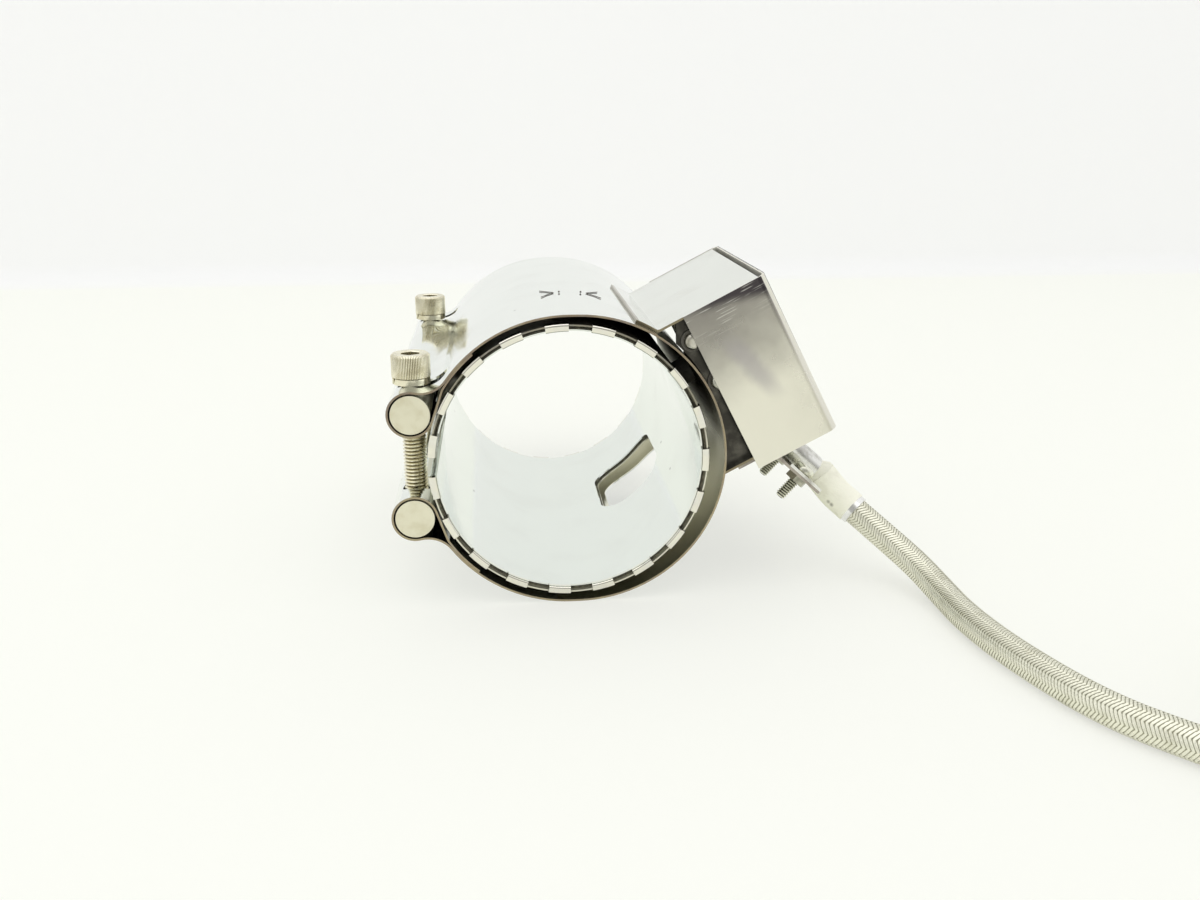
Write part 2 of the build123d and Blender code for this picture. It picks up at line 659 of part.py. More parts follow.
def supply_leads():
    """The two leads of the cable, from the sleeve to the terminals."""
    leads = []
    for index, (out, across) in enumerate(TERMINALS):
        offset = LEAD_SPACING / 2 if index else -LEAD_SPACING / 2
        foot = on_clamp(-SLEEVE_TAIL, CABLE_LIFT, offset)
        rise = on_clamp(-SLEEVE_TAIL - LEAD_RUN_OUT, CABLE_LIFT, offset)
        leads.append(lead_to_crimp([foot, rise], out, across, SUPPLY_RING_ANGLES[index], 1))
    return leads


def lead_bushing():
    """Flanged insulating bush in the strap's lead hole."""
    bore = LEAD_HOLE_DIAMETER / 2 - BUSHING_WALL
    foot = OUTER_SHEATH_R - STRAP_STAND_OFF
    seat = STRAP_OUT_R
    top = seat + BUSHING_FLANGE_THICKNESS
    ring = Circle(LEAD_HOLE_DIAMETER / 2) - Circle(bore)
    flange = Circle(BUSHING_FLANGE / 2) - Circle(bore)
    bush = radial_tool(BOX_ANGLE, LEAD_HOLE_Y, ring, foot, top, BOX_CENTRE)
    return bush + radial_tool(BOX_ANGLE, LEAD_HOLE_Y, flange, seat, top, BOX_CENTRE)


def box_cover():
    """Lift-off cover: front, outer and rear plates bent from one strip."""
    front = BOX_START_Y - COVER_PLAY - BOX_SHEET
    rear = BOX_END_Y + COVER_PLAY + BOX_SHEET
    reach = COVER_REACH - COVER_START
    depth = rear - front
    outer = Rectangle(reach, depth)
    outer = fillet(outer.vertices().group_by(Axis.X)[-1], COVER_BEND)
    hollow = Pos(-BOX_SHEET, 0) * Rectangle(reach, depth - 2 * BOX_SHEET)
    hollow = fillet(hollow.vertices().group_by(Axis.X)[-1], COVER_BEND - BOX_SHEET)
    origin = in_box(COVER_START + reach / 2, COVER_BOTTOM, (front + rear) / 2)
    plane = Plane(origin=origin, x_dir=BOX_OUT, z_dir=BOX_ACROSS)
    return extrude(plane * (outer - hollow), amount=COVER_TOP - COVER_BOTTOM)


def clamp_plane(along, lift, y_off=0.0):
    """A plane that lies on the tongue, X along the cable and Z up from the tongue."""
    return Plane(origin=on_clamp(along, lift, y_off), x_dir=TONGUE_DIR, z_dir=TONGUE_UP)


def saddle_screw_places():
    """Where the two saddle screws stand, as distances along the bore from the cable."""
    return (-SADDLE_SCREW_SPACING / 2, SADDLE_SCREW_SPACING / 2)


def clamp_tongue():
    """Tongue plate with a foot on the box's lower wall and two screw holes."""
    plate = Pos(TONGUE_LENGTH / 2, 0) * Rectangle(TONGUE_LENGTH, TONGUE_WIDTH)
    tongue = extrude(clamp_plane(0, 0) * plate, amount=TONGUE_SHEET)
    foot_start = TONGUE_ROOT - TONGUE_FOOT
    foot = box_strip(foot_start, TONGUE_ROOT + TONGUE_SHEET, BOTTOM_WALL - TONGUE_SHEET, BOTTOM_WALL)
    tongue += across_box(foot, CLAMP_Y - TONGUE_WIDTH / 2, CLAMP_Y + TONGUE_WIDTH / 2)
    above_wall = box_strip(foot_start, BOX_REACH, BOTTOM_WALL, BOTTOM_WALL + TONGUE_LENGTH)
    tongue -= across_box(above_wall, CLAMP_Y - TONGUE_WIDTH, CLAMP_Y + TONGUE_WIDTH)
    return tongue - saddle_holes(0)


def saddle_holes(lift):
    """Screw holes through a plate of the clamp."""
    radius = SADDLE_SCREW_DIAMETER / 2 + SADDLE_HOLE_PLAY
    middle = SADDLE_START + SADDLE_LENGTH / 2
    depth = TONGUE_SHEET + SADDLE_SHEET
    return [
        rod(on_clamp(middle, lift - depth, y), on_clamp(middle, lift + depth, y), radius)
        for y in saddle_screw_places()
    ]


def cable_saddle():
    """Half-round saddle over the cable, with a flat ear on each side."""
    centre = SADDLE_BORE / 2
    outer_r = centre + SADDLE_SHEET
    arch = Pos(0, centre) * Circle(outer_r) + Pos(0, centre / 2) * Rectangle(2 * outer_r, centre)
    ears = Pos(0, SADDLE_SHEET / 2) * Rectangle(TONGUE_WIDTH, SADDLE_SHEET)
    hollow = Pos(0, centre) * Circle(centre) + Pos(0, centre / 2) * Rectangle(SADDLE_BORE, centre)
    below = Pos(0, -outer_r) * Rectangle(TONGUE_WIDTH * 2, 2 * outer_r)
    plane = Plane(origin=on_clamp(SADDLE_START, TONGUE_SHEET), x_dir=(0, 1, 0), z_dir=TONGUE_DIR)
    upright = arch + ears - hollow - below
    flip = 1 if plane.y_dir.dot(TONGUE_UP) > 0 else -1
    section = upright if flip > 0 else mirror(upright, about=Plane.XZ)
    saddle = extrude(plane * section, amount=SADDLE_LENGTH)
    return saddle - saddle_holes(TONGUE_SHEET + SADDLE_SHEET / 2)


def saddle_screws():
    """Two pan-head screws through saddle and tongue."""
    middle = SADDLE_START + SADDLE_LENGTH / 2
    seat = TONGUE_SHEET + SADDLE_SHEET
    screws = []
    for y in saddle_screw_places():
        tip = on_clamp(middle, -SADDLE_SCREW_REACH, y)
        shank = rod(tip, on_clamp(middle, seat, y), SADDLE_SCREW_DIAMETER / 2)
        head = Cylinder(PAN_HEAD_DIAMETER / 2, PAN_HEAD_HEIGHT, align=(Align.CENTER, Align.CENTER, Align.MIN))
        head = fillet(head.edges().group_by(Axis.Z)[-1], PAN_HEAD_ROUNDING)
        screws.append(shank + clamp_plane(middle, seat, y) * head)
    return screws


def saddle_nuts():
    """Two hexagon nuts under the tongue."""
    middle = SADDLE_START + SADDLE_LENGTH / 2
    hexagon = RegularPolygon(SADDLE_NUT_ACROSS / 2, 6, major_radius=False)
    outline = hexagon - Circle(SADDLE_SCREW_DIAMETER / 2)
    return [
        extrude(clamp_plane(middle, -SADDLE_NUT_HEIGHT, y) * outline, amount=SADDLE_NUT_HEIGHT)
        for y in saddle_screw_places()
    ]


def cable_sleeve():
    """Fibreglass sleeve: pinched in the clamp, flared and bent beyond it."""
    pinched_end = on_clamp(TONGUE_LENGTH, CABLE_LIFT)
    flare_end = on_clamp(TONGUE_LENGTH + SLEEVE_FLARE, CABLE_LIFT)
    sleeve = rod(on_clamp(-SLEEVE_TAIL, CABLE_LIFT), pinched_end, SLEEVE_PINCHED / 2)
    cone = Cone(
        SLEEVE_PINCHED / 2, SLEEVE_DIAMETER / 2, SLEEVE_FLARE, align=(Align.CENTER, Align.CENTER, Align.MIN)
    )
    sleeve += Plane(origin=pinched_end, z_dir=TONGUE_DIR) * cone
    corner = cable_corner()
    route = rounded_route([flare_end, corner, Vector(*SLEEVE_END)], SLEEVE_BEND)
    return sleeve + tube_along(route, SLEEVE_DIAMETER / 2)


def cable_corner():
    """Where the line of the clamp turns into the cable's first run."""
    first_run = (Vector(*CABLE_ROUTE[1]) - Vector(*CABLE_ROUTE[0])).normalized()
    axis_start = on_clamp(TONGUE_LENGTH + SLEEVE_FLARE, CABLE_LIFT)
    reach = (Vector(*SLEEVE_END) - axis_start).length
    return Vector(*SLEEVE_END) - first_run * reach / 2


def braid_ferrule():
    """Bright ring where the braid starts."""
    start = Vector(*SLEEVE_END)
    way = (Vector(*CABLE_ROUTE[1]) - start).normalized()
    end = start + way * FERRULE_LENGTH
    ring = rod(start, end, CABLE_DIAMETER / 2 + FERRULE_WALL)
    return ring - rod(start - way, end + way, CABLE_DIAMETER / 2)


def cable_points():
    """The cable's route as vectors."""
    return [Vector(*point) for point in CABLE_ROUTE]


def cable():
    """The braided cable from the sleeve to its coil."""
    route = rounded_route(cable_points())
    return tube_along(route, CABLE_DIAMETER / 2)


def coil_centre():
    """The coil's centre, to the left of the cable's last run."""
    end = Vector(*CABLE_ROUTE[-1])
    way = (end - Vector(*CABLE_ROUTE[-2])).normalized()
    return end + Vector(-way.Y, way.X, 0) * COIL_RADIUS


def coil_start_angle():
    """The angle of the coil's first point about its centre."""
    spoke = Vector(*CABLE_ROUTE[-1]) - coil_centre()
    return math.degrees(math.atan2(spoke.Y, spoke.X))


def coil_ring(start, size, z0, z1):
    """Part of the coil's ring between two heights."""
    half = CABLE_DIAMETER / 2 + COIL_SKIN
    centre = coil_centre()
    if size >= 360:
        face = Circle(COIL_RADIUS + half) - Circle(COIL_RADIUS - half)
    else:
        face = arc_strip(COIL_RADIUS - half, COIL_RADIUS + half, start, size)
    return extrude(Plane(origin=(centre.X, centre.Y, z0)) * face, amount=z1 - z0)


def coil_levels():
    """Heights of the coil's bottom, of the turns that go all round, and of its top."""
    bottom = CABLE_ROUTE[-1][2] - CABLE_DIAMETER / 2
    whole = bottom + COIL_PITCH * (COIL_TURNS - 1) + CABLE_DIAMETER
    top = bottom + COIL_PITCH * COIL_TURNS + CABLE_DIAMETER
    return bottom, whole, top


def cable_coil(tube):
    """Outer shape of the coiled rest of the cable: a ring with one higher stretch."""
    bottom, whole, top = coil_levels()
    part_turn = (COIL_TURNS % 1) * 360
    ring = coil_ring(0, 360, bottom, whole)
    ring += coil_ring(coil_start_angle() - COIL_STEP_BACK, COIL_STEP_BACK + part_turn, whole, top)
    return ring - tube


def coil_end():
    """The end of the coiled cable and the way it points there."""
    angle = math.radians(coil_start_angle() + COIL_TURNS * 360)
    spoke = Vector(math.cos(angle), math.sin(angle), 0)
    height = coil_levels()[1] + CABLE_DIAMETER / 2 + END_FERRULE_WALL
    point = coil_centre() + spoke * COIL_RADIUS
    return Vector(point.X, point.Y, height), Vector(-spoke.Y, spoke.X, 0)


def end_ferrule():
    """Crimped ferrule on the cable's end, lying on the coil."""
    point, way = coil_end()
    return rod(point, point + way * END_FERRULE_LENGTH, CABLE_DIAMETER / 2 + END_FERRULE_WALL)


def lead_tails():
    """Two short insulated tails out of the end ferrule."""
    point, way = coil_end()
    start = point + way * END_FERRULE_LENGTH
    side = Vector(-way.Y, way.X, 0) * TAIL_SPACING / 2
    starts = (start - side, start + side)
    return [rod(foot, foot + way * TAIL_LENGTH, TAIL_DIAMETER / 2) for foot in starts]


def strap_pin(angle, side):
    """A split pin: its round head, and its two legs bent flat on the strap beside it."""
    surface = STRAP_OUT_R + PIN_LIFT
    radius = surface + PIN_WIRE / 2
    centre = BOX_CENTRE if side < 0 else Vector(0, 0, 0)
    head = centre + on_circle(surface + PIN_HEAD_DIAMETER / 2, angle, PIN_Y)
    fork = centre + on_circle(radius, angle + side * PIN_LINK_ARC, PIN_Y)
    legs = Pos(fork) * Sphere(PIN_WIRE / 2)
    for spread in (-PIN_LEG_SPREAD, PIN_LEG_SPREAD):
        tip = centre + on_circle(radius, angle + side * (PIN_LINK_ARC + PIN_LEG_ARC), PIN_Y + spread)
        legs += rod(fork, tip, PIN_WIRE / 2)
    return [legs, Pos(head) * Sphere(PIN_HEAD_DIAMETER / 2)]


def build():
    """All nodes of the part by name."""
    tube = cable()
    nodes = {
        "inner_sheath": inner_sheath(),
        "inner_insulation": insulation(INNER_SHEATH_R, RIBBON_IN_R, False),
        "heating_ribbon": heating_ribbon(),
        "outer_insulation": insulation(RIBBON_OUT_R, OUTER_SHEATH_IN_R, True),
        "outer_sheath": outer_sheath(),
        "clamp_strap": clamp_strap(),
        "strap_pins": [part for angle, side in STRAP_PINS for part in strap_pin(angle, side)],
        "top_bracket": top_bracket(),
        "bottom_bracket": bottom_bracket(),
        "terminal_panel": terminal_panel(),
        "terminal_screws": [terminal_screw(*place) for place in TERMINALS],
        "terminal_insulators": [part for place in TERMINALS for part in terminal_insulators(*place)],
        "terminal_nuts": [terminal_nut(*place) for place in TERMINALS],
        "heater_ring_terminals": [
            ring_terminal(*place, angle, 0) for place, angle in zip(TERMINALS, HEATER_RING_ANGLES)
        ],
        "supply_ring_terminals": [
            ring_terminal(*place, angle, 1) for place, angle in zip(TERMINALS, SUPPLY_RING_ANGLES)
        ],
        "heater_leads": heater_leads(),
        "supply_leads": supply_leads(),
        "lead_bushing": lead_bushing(),
        "box_cover": box_cover(),
        "clamp_tongue": clamp_tongue(),
        "cable_saddle": cable_saddle(),
        "saddle_screws": saddle_screws(),
        "saddle_nuts": saddle_nuts(),
        "cable_sleeve": cable_sleeve(),
        "braid_ferrule": braid_ferrule(),
        "cable": tube,
        "cable_coil": cable_coil(tube),
        "end_ferrule": end_ferrule(),
        "lead_tails": lead_tails(),
    }
    for name, y_side in (("front", -1), ("rear", 1)):
        nodes[f"upper_barrel_{name}"] = barrel_nut(1, y_side, SCREW_CLEARANCE)
        nodes[f"lower_barrel_{name}"] = barrel_nut(-1, y_side, SCREW_RUNNING)
        nodes[f"clamp_screw_{name}"] = clamp_screw(y_side)
        nodes[f"lock_washer_{name}"] = lock_washer(y_side)
    return nodes


def main():
    os.makedirs("parts", exist_ok=True)
    print("cable arc radii:", [round(radius, 1) for radius in bend_radii(cable_points())])
    for name, shape in build().items():
        solid = Compound(children=shape) if isinstance(shape, list) else shape
        export_step(solid, f"parts/{name}.step")


main()
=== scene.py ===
# %% [markdown]
# A band heater on a pale table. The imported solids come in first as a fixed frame. Everything after that
# gives them their finish, or stands in for a solid where a finer mesh is needed.

# %% Load the frame
import json
import math
import bmesh
import bpy
import numpy as np
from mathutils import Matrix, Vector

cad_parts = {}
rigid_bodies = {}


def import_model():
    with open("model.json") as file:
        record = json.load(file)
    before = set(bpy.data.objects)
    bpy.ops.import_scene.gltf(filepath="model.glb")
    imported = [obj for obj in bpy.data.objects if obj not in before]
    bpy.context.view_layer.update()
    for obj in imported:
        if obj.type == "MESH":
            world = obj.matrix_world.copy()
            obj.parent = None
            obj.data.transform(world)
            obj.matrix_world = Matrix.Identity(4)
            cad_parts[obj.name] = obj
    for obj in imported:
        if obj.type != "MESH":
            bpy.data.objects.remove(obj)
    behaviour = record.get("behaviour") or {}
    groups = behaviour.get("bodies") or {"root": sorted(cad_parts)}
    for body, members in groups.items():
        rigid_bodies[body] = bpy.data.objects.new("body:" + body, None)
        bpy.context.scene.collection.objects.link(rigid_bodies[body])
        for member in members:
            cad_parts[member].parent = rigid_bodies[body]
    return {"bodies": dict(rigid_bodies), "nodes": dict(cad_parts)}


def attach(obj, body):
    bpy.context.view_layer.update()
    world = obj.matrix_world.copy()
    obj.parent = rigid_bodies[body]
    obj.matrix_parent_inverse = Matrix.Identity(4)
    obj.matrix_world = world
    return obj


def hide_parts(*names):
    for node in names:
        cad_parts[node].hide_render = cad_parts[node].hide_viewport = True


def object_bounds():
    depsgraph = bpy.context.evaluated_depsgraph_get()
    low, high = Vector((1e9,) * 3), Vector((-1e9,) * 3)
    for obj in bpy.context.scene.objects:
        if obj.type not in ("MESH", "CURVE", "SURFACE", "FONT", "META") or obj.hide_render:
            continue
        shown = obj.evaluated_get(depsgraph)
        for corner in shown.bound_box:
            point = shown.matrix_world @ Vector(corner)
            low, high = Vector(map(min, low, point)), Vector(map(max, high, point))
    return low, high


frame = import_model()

nodes = frame["nodes"]
kept = set(nodes.values()) | set(frame["bodies"].values())
for leftover in [thing for thing in bpy.data.objects if thing not in kept]:
    bpy.data.objects.remove(leftover)
cad_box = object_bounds()
print("solids:", len(nodes), "box:", [tuple(corner) for corner in cad_box])

# %% [markdown]
# The camera stands in front of the bore, a little above it and to its left. Its place and lens come from
# fitting the two rims of the bore and the corners of the terminal box. The lens is written for a frame that
# is wider than it is high, so the sensor width is the frame's width.

# %% Camera
CAMERA_PLACE = (-0.0231, -0.4230, 0.1103)
CAMERA_DOWN = math.radians(16.88)
CAMERA_TOWARDS_BOX = math.radians(5.43)
CAMERA_LENS = 32.85
SENSOR_WIDTH = 36.0
NEAREST_SEEN = 0.01

scene = bpy.context.scene
camera = bpy.data.objects.new("camera", bpy.data.cameras.new("camera"))
camera.data.lens = CAMERA_LENS
camera.data.sensor_width = SENSOR_WIDTH
camera.data.clip_start = NEAREST_SEEN
camera.location = CAMERA_PLACE
camera.rotation_euler = (math.pi / 2 - CAMERA_DOWN, 0, -CAMERA_TOWARDS_BOX)
scene.collection.objects.link(camera)
scene.camera = camera
scene.view_settings.view_transform = "Standard"

# %% [markdown]
# Shader trees are long to write node by node. These helpers place one node, link what is given as a socket
# and set what is given as a number.

# %% Shader helpers
def fill_inputs(tree, made, inputs):
    """Give a node its inputs: a value is set, and another node's output is linked."""
    for name, value in inputs.items():
        if isinstance(value, bpy.types.NodeSocket):
            tree.links.new(value, made.inputs[name])
        else:
            made.inputs[name].default_value = value


def place(tree, kind, inputs=None, **settings):
    """Add a node with its settings and inputs."""
    made = tree.nodes.new(kind)
    for name, value in settings.items():
        setattr(made, name, value)
    fill_inputs(tree, made, inputs or {})
    return made


def maths(tree, operation, *values):
    """One arithmetic step."""
    return place(tree, "ShaderNodeMath", dict(enumerate(values)), operation=operation).outputs[0]


def mix_colours(tree, share, first, second):
    """The first colour where share is 0, the second where it is 1."""
    inputs = {0: share, 6: first, 7: second}
    return place(tree, "ShaderNodeMix", inputs, data_type="RGBA").outputs[2]


def soft_step(tree, value, low, high):
    """0 below low, 1 above high, with an S-shaped rise between them."""
    inputs = {"Value": value, "From Min": low, "From Max": high}
    return place(tree, "ShaderNodeMapRange", inputs, interpolation_type="SMOOTHSTEP").outputs[0]


def share_of_way(tree, value, start, end):
    """0 at the start, 1 at the end, in a straight line between them."""
    inputs = {"Value": value, "From Min": start, "From Max": end}
    return place(tree, "ShaderNodeMapRange", inputs).outputs[0]


def between(tree, value, low, high):
    """A value from 0 to 1 stretched to run from low to high."""
    return place(tree, "ShaderNodeMapRange", {"Value": value, "To Min": low, "To Max": high}).outputs[0]


def noise(tree, vector, scale, detail=2.0):
    """Cloudy noise from 0 to 1."""
    inputs = {"Vector": vector, "Scale": scale, "Detail": detail}
    return place(tree, "ShaderNodeTexNoise", inputs).outputs[0]


def stretched(tree, vector, scale):
    """Coordinates stretched along each axis."""
    return place(tree, "ShaderNodeMapping", {"Vector": vector, "Scale": scale}).outputs[0]


def colour_ramp(tree, value, stops):
    """Colours at given places from 0 to 1."""
    made = place(tree, "ShaderNodeValToRGB", {"Fac": value})
    elements = made.color_ramp.elements
    while len(elements) < len(stops):
        elements.new(0.5)
    for element, (position, colour) in zip(elements, stops):
        element.position = position
        element.color = (*colour, 1.0)
    return made.outputs[0]


def start_group(name, inputs, outputs):
    """An empty shader node group; returns its tree, its input sockets and its output sockets."""
    tree = bpy.data.node_groups.new(name, "ShaderNodeTree")
    for label, kind in inputs:
        tree.interface.new_socket(label, in_out="INPUT", socket_type="NodeSocket" + kind)
    for label, kind in outputs:
        tree.interface.new_socket(label, in_out="OUTPUT", socket_type="NodeSocket" + kind)
    entry = tree.nodes.new("NodeGroupInput")
    leave = tree.nodes.new("NodeGroupOutput")
    return tree, entry.outputs, leave.inputs


def use_group(tree, group, inputs):
    """Place a shader node group with its own values."""
    return place(tree, "ShaderNodeGroup", node_tree=group, inputs=inputs).outputs


def start_material(name, **constants):
    """A material with one Principled shader; constants go on the shader's own sockets."""
    material = bpy.data.materials.new(name)
    material.use_nodes = True
    tree = material.node_tree
    shader = tree.nodes["Principled BSDF"]
    for label, value in constants.items():
        shader.inputs[label.replace("_", " ")].default_value = value
    spot = tree.nodes.new("ShaderNodeTexCoord")
    return material, tree, shader, spot.outputs


def bump(tree, shader, height, strength, distance):
    """Feed a height to the shader's normal."""
    inputs = {"Height": height, "Strength": strength, "Distance": distance}
    made = place(tree, "ShaderNodeBump", inputs)
    tree.links.new(made.outputs[0], shader.inputs["Normal"])


def paint(material, *names):
    """Give CAD nodes a material."""
    for name in names:
        nodes[name].material_slots[0].material = material


# %% [markdown]
# The room: a white table with a low wall far behind it, one wide soft light from above and a bright world.
# Camera and mirror rays see the world as plain white, while the light that it throws on the object is
# weaker, so that colours come out about as they are written. The same rays see the table partly as plain
# white, which keeps its shadows pale without any more light on the object.

# %% Table, wall and light
TABLE_FRONT = -2.5
TABLE_BACK = 0.70
TABLE_SIDE = 3.0
WALL_TOP = 1.6
COVE_RADIUS = 0.02
COVE_STEPS = 12
SKY_LIGHT = 0.84
SOFTBOX_SIZE = 2.2
SOFTBOX_PLACE = (-0.3, -0.5, 1.7)
SOFTBOX_POWER = 9.0
TABLE_GLOW = 0.5
TABLE_PAINT = (0.94, 0.955, 0.84, 1)
WALL_PAINT = (0.93, 0.935, 0.93, 1)
TABLE_WHITE = (1.0, 1.0, 1.0, 1)
WALL_WHITE = (0.985, 0.985, 0.985, 1)
SKY_WHITE = (1.0, 1.0, 1.0, 1)
DIM_ROOM = (0.42, 0.42, 0.40, 1)
DIM_FROM = 0.35
DIM_TO = 0.9

floor_z = cad_box[0].z


def grid_mesh(name, points, uvs=None, closed=False):
    """A mesh of quads on a grid of points (rows, columns, 3); closed joins the last column to the first."""
    rows, columns = points.shape[:2]
    across = columns if closed else columns - 1
    row = np.arange(rows - 1)[:, None] * columns
    near = np.arange(across)[None, :]
    far = (near + 1) % columns
    quads = np.stack([row + near, row + far, row + columns + far, row + columns + near], axis=-1)
    mesh = bpy.data.meshes.new(name)
    mesh.from_pydata(points.reshape(-1, 3), [], quads.reshape(-1, 4))
    if uvs is not None:
        u, v = uvs
        u_corner = np.stack([u[:-1], u[1:], u[1:], u[:-1]], axis=-1)[None, :, :]
        v_corner = np.stack([v[:-1], v[:-1], v[1:], v[1:]], axis=-1)[:, None, :]
        corners = np.stack(np.broadcast_arrays(u_corner, v_corner), axis=-1)
        layer = mesh.uv_layers.new(name="surface")
        layer.data.foreach_set("uv", corners.astype(np.float32).ravel())
    mesh.shade_smooth()
    return mesh


def add_piece(name, mesh, material):
    """Link a mesh as an object at the origin."""
    piece = bpy.data.objects.new(name, mesh)
    mesh.materials.append(material)
    scene.collection.objects.link(piece)
    return piece


def table_profile():
    """Height over depth: flat table, a small quarter round, then the wall."""
    turn = np.linspace(0, math.pi / 2, COVE_STEPS)
    cove = TABLE_BACK + COVE_RADIUS * np.sin(turn)
    depth = np.concatenate([[TABLE_FRONT], cove, [TABLE_BACK + COVE_RADIUS]])
    height = np.concatenate([[0], COVE_RADIUS * (1 - np.cos(turn)), [WALL_TOP]])
    return depth, floor_z + height


def seen_directly(tree):
    """1 for rays from the camera, a mirror or glass, 0 for the rays that light a surface."""
    path = place(tree, "ShaderNodeLightPath").outputs
    direct = maths(tree, "MAXIMUM", path["Is Camera Ray"], path["Is Glossy Ray"])
    return maths(tree, "MAXIMUM", direct, path["Is Transmission Ray"])


def table_material():
    """White paint, a touch greyer on the wall; seen directly, a share of it is plain white."""
    material, tree, shader, spot = start_material("table_white", Roughness=0.7, Specular_IOR_Level=0.1)
    place_of = place(tree, "ShaderNodeSeparateXYZ", {0: spot["Object"]}).outputs
    on_wall = soft_step(tree, place_of["Y"], TABLE_BACK - COVE_RADIUS, TABLE_BACK + COVE_RADIUS)
    colour = mix_colours(tree, on_wall, TABLE_PAINT, WALL_PAINT)
    tree.links.new(colour, shader.inputs["Base Color"])
    white = mix_colours(tree, on_wall, TABLE_WHITE, WALL_WHITE)
    glow = place(tree, "ShaderNodeEmission", {"Color": white}).outputs[0]
    share = maths(tree, "MULTIPLY", seen_directly(tree), TABLE_GLOW)
    both = place(tree, "ShaderNodeMixShader", {0: share, 1: shader.outputs[0], 2: glow}).outputs[0]
    tree.links.new(both, tree.nodes["Material Output"].inputs["Surface"])
    return material


depth, height = table_profile()
sides = np.array([TABLE_SIDE, -TABLE_SIDE])
table_points = np.stack(np.broadcast_arrays(sides[None, :], depth[:, None], height[:, None]), axis=-1)
table = add_piece("table", grid_mesh("table", table_points), table_material())

softbox = bpy.data.objects.new("softbox", bpy.data.lights.new("softbox", "AREA"))
softbox.data.size = SOFTBOX_SIZE
softbox.data.energy = SOFTBOX_POWER
softbox.location = SOFTBOX_PLACE
scene.collection.objects.link(softbox)


def studio_world():
    """White to the camera and to mirrors, weaker as a light; the room behind the camera is dim."""
    world = bpy.data.worlds.new("studio")
    world.use_nodes = True
    tree = world.node_tree
    mirror_ray = place(tree, "ShaderNodeLightPath").outputs["Is Glossy Ray"]
    way = place(tree, "ShaderNodeTexCoord").outputs["Generated"]
    aim = place(tree, "ShaderNodeSeparateXYZ", {0: way}).outputs
    behind = soft_step(tree, maths(tree, "MULTIPLY", aim["Y"], -1.0), DIM_FROM, DIM_TO)
    mirrored = mix_colours(tree, behind, SKY_WHITE, DIM_ROOM)
    seen = mix_colours(tree, mirror_ray, SKY_WHITE, mirrored)
    strength = between(tree, seen_directly(tree), SKY_LIGHT, 1.0)
    sky = tree.nodes["Background"]
    tree.links.new(seen, sky.inputs["Color"])
    tree.links.new(strength, sky.inputs["Strength"])
    return world


scene.world = studio_world()

# %% [markdown]
# Effects that several metals share are node groups: gentle waves and rolling marks of thin sheet, specks and
# smudges, the straw to blue colours that heat leaves on stainless steel, and a mask for a sheet's cut edges.

# %% Shared effects
WAVE_SCALE = 26.0
ROLLING_STRETCH = (900.0, 14.0, 900.0)
SMUDGE_SCALE = 45.0
SMUDGE_RISE = (0.45, 0.75)
SPECK_SCALE = 120.0
SPECK_EDGE = (0.085, 0.05)
SPECK_RARITY = (0.88, 0.9)
HEAT_COLOURS = (
    (0.25, (0.86, 0.85, 0.78)),
    (0.42, (0.74, 0.66, 0.50)),
    (0.54, (0.50, 0.40, 0.36)),
    (0.63, (0.46, 0.43, 0.50)),
    (0.78, (0.84, 0.83, 0.78)),
)


def rolled_sheet_group():
    """Height of the sheet's waves and rolling lines, a mask of smudges and a mask of specks."""
    inputs = [("Vector", "Vector"), ("Lines", "Float")]
    outputs = [("Height", "Float"), ("Smudge", "Float"), ("Speck", "Float")]
    tree, entry, leave = start_group("rolled_sheet", inputs, outputs)
    wave = noise(tree, entry["Vector"], WAVE_SCALE, 1.0)
    lines = noise(tree, stretched(tree, entry["Vector"], ROLLING_STRETCH), 1.0, 3.0)
    lines = maths(tree, "MULTIPLY", lines, entry["Lines"])
    tree.links.new(maths(tree, "ADD", wave, lines), leave["Height"])
    cloud = noise(tree, entry["Vector"], SMUDGE_SCALE, 5.0)
    tree.links.new(soft_step(tree, cloud, *SMUDGE_RISE), leave["Smudge"])
    cells = place(tree, "ShaderNodeTexVoronoi", {"Vector": entry["Vector"], "Scale": SPECK_SCALE})
    dot = soft_step(tree, cells.outputs["Distance"], *SPECK_EDGE)
    chance = place(tree, "ShaderNodeSeparateColor", {0: cells.outputs["Color"]}).outputs[0]
    rare = soft_step(tree, chance, *SPECK_RARITY)
    tree.links.new(maths(tree, "MULTIPLY", dot, rare), leave["Speck"])
    return tree


def heat_tint_group():
    """Base colour washed with the colours of heated stainless steel, in clouds."""
    inputs = [("Vector", "Vector"), ("Base", "Color"), ("Amount", "Float"), ("Scale", "Float")]
    tree, entry, leave = start_group("heat_tint", inputs, [("Color", "Color")])
    cloud = noise(tree, entry["Vector"], entry["Scale"], 3.0)
    tint = colour_ramp(tree, cloud, HEAT_COLOURS)
    tree.links.new(mix_colours(tree, entry["Amount"], entry["Base"], tint), leave["Color"])
    return tree


def cut_edge_group():
    """1 on a sheet's cut edge, where the distance from mid-width reaches the half width, else 0."""
    inputs = [("Vector", "Vector"), ("Half width", "Float"), ("Depth", "Float")]
    tree, entry, leave = start_group("cut_edge", inputs, [("Mask", "Float")])
    across = place(tree, "ShaderNodeSeparateXYZ", {0: entry["Vector"]}).outputs["Y"]
    reach = maths(tree, "ABSOLUTE", across)
    start = maths(tree, "SUBTRACT", entry["Half width"], entry["Depth"])
    tree.links.new(soft_step(tree, reach, start, entry["Half width"]), leave["Mask"])
    return tree


rolled_sheet = rolled_sheet_group()
heat_tint = heat_tint_group()
cut_edge = cut_edge_group()

